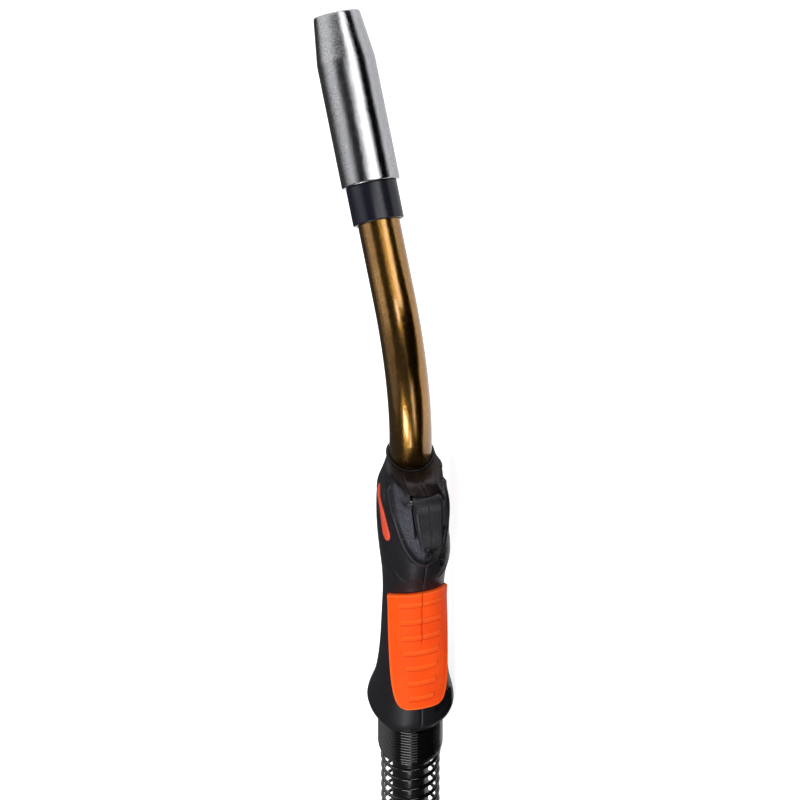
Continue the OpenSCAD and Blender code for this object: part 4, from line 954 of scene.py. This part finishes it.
def white_world():
    """White to camera, glossy and transmission rays, and a soft grey light to the rest."""
    world = bpy.data.worlds.new("surroundings")
    bpy.context.scene.world = world
    world.use_nodes = True
    tree = world.node_tree
    back = tree.nodes["Background"]
    path = tree.nodes.new("ShaderNodeLightPath")
    total = tree.nodes.new("ShaderNodeMath")
    total.operation = "ADD"
    every = tree.nodes.new("ShaderNodeMath")
    every.operation, every.use_clamp = "ADD", True
    tree.links.new(path.outputs["Is Camera Ray"], total.inputs[0])
    tree.links.new(path.outputs["Is Glossy Ray"], total.inputs[1])
    tree.links.new(total.outputs[0], every.inputs[0])
    tree.links.new(path.outputs["Is Transmission Ray"], every.inputs[1])
    blend = tree.nodes.new("ShaderNodeMix")
    blend.data_type = "RGBA"
    tree.links.new(every.outputs[0], blend.inputs[0])
    blend.inputs[6].default_value = (0.32, 0.32, 0.33, 1.0)
    blend.inputs[7].default_value = (1.0, 1.0, 1.0, 1.0)
    tree.links.new(blend.outputs[2], back.inputs[0])
    back.inputs[1].default_value = 1.0


def toward(azimuth, elevation):
    """Unit vector at an azimuth from +X towards +Y and an elevation, both in degrees."""
    a, e = np.radians(azimuth), np.radians(elevation)
    return np.stack([np.cos(e) * np.cos(a), np.cos(e) * np.sin(a), np.sin(e) + 0 * a], -1)


MIDDLE = np.array([170.0, 10.0, 0.0])


def softbox(name, azimuth, elevation, distance, size, bright, in_gloss=True):
    """A rectangular soft light that faces the torch. Its power is pi times its area times bright, the
    white that a mirror would show of it."""
    data = bpy.data.lights.new(name, "AREA")
    data.shape, data.size, data.size_y = "RECTANGLE", size[0], size[1]
    data.energy = float(np.pi * size[0] * size[1] * bright)
    lamp = bpy.data.objects.new(name, data)
    lamp.visible_camera = False
    lamp.visible_glossy = in_gloss
    bpy.context.scene.collection.objects.link(lamp)
    where = Vector(metres(MIDDLE + 1000 * distance * toward(azimuth, elevation)))
    turn = (Vector(metres(MIDDLE)) - where).to_track_quat("-Z", "Y").to_matrix().to_4x4()
    lamp.matrix_world = Matrix.Translation(where) @ turn
    return lamp


def gloss_only(piece, shade, glow=0.0):
    """Makes a piece a flag or reflector of the studio, which only reflections see."""
    f = Finish(piece.name)
    f.shader.inputs["Specular IOR Level"].default_value = 0.0
    f.shader.inputs["Emission Color"].default_value = (1.0, 1.0, 1.0, 1.0)
    f.shader.inputs["Emission Strength"].default_value = glow
    piece.data.materials.append(f.done((shade, shade, shade), 1.0))
    piece.visible_camera = piece.visible_diffuse = piece.visible_shadow = piece.visible_transmission = False


def dark_flag(name, azimuths, elevations, glow=0.0, radius=3.0):
    """Part of a sphere of black cloth round the torch, between two azimuths and two elevations."""
    a, e = np.meshgrid(np.linspace(*azimuths, 33), np.linspace(*elevations, 17), indexing="ij")
    gloss_only(surface(name, MIDDLE + 1000 * radius * toward(a, e)), 0.004, glow)


def floor_sheet(name, strips, height, shade, glow=0.0):
    """Cloth or card close over the floor on the trigger's side: each strip gives its near and far end."""
    places = np.array(strips, dtype=float).reshape(-1, 2, 2)
    points = np.concatenate([places, np.full((*places.shape[:2], 1), height)], 2)
    gloss_only(surface(name, points, origin=BENCH), shade, glow)


def beside_nozzle(along, offset):
    """Place on the floor, at a distance along the nozzle's axis and off it on the trigger's side."""
    return (FRONT + along * FORWARD + offset * np.array([FORWARD[1], -FORWARD[0], 0.0]))[:2].tolist()


floor()
white_world()
softbox("nozzle_strip", 319, 7.0, 1.5, (0.34, 0.40), 5.2)
softbox("neck_strip", 242, 31, 1.5, (0.40, 0.50), 8.0)
softbox("spring_strip", 222, 13, 1.5, (1.10, 0.14), 6.0)
softbox("trigger_fill", 267, 8, 1.5, (0.40, 0.30), 1.6, False)
softbox("front_fill", 292, 40, 1.6, (0.9, 0.9), 2.6, False)
softbox("side_fill", 232, 48, 1.6, (0.9, 0.9), 2.2, False)
softbox("top_fill", 150, 82, 1.6, (1.3, 1.3), 1.2, False)
dark_flag("flag_behind_handle", (105, 306), (-1, 60), 0.06)
dark_flag("flag_above_handle", (105, 306), (60, 87), 0.30)
dark_flag("flag_beside_nozzle", (305, 352), (-1, 60), 0.03)
floor_sheet("flag_on_floor", [(-400, 4, -400, -900), (0, -8, 0, -900), (158, -20, 158, -900),
    (200, -9, 240, -900), (*beside_nozzle(-10, 15), 420, -800), (*beside_nozzle(60, 15), 800, -400),
    (*beside_nozzle(200, 15), 1000, 0)], 0.4, 0.004)
floor_sheet("reflector_on_floor", [(*beside_nozzle(-40, 42), *beside_nozzle(-40, 330)),
    (*beside_nozzle(200, 42), *beside_nozzle(200, 330))], 0.8, 0.5, 2.6)
floor_sheet("reflector_by_trigger", [(125, -85, 125, -240), (205, -85, 205, -240)], 0.8, 0.5, 2.4)

scene = bpy.context.scene
scene.view_settings.view_transform = "Standard"
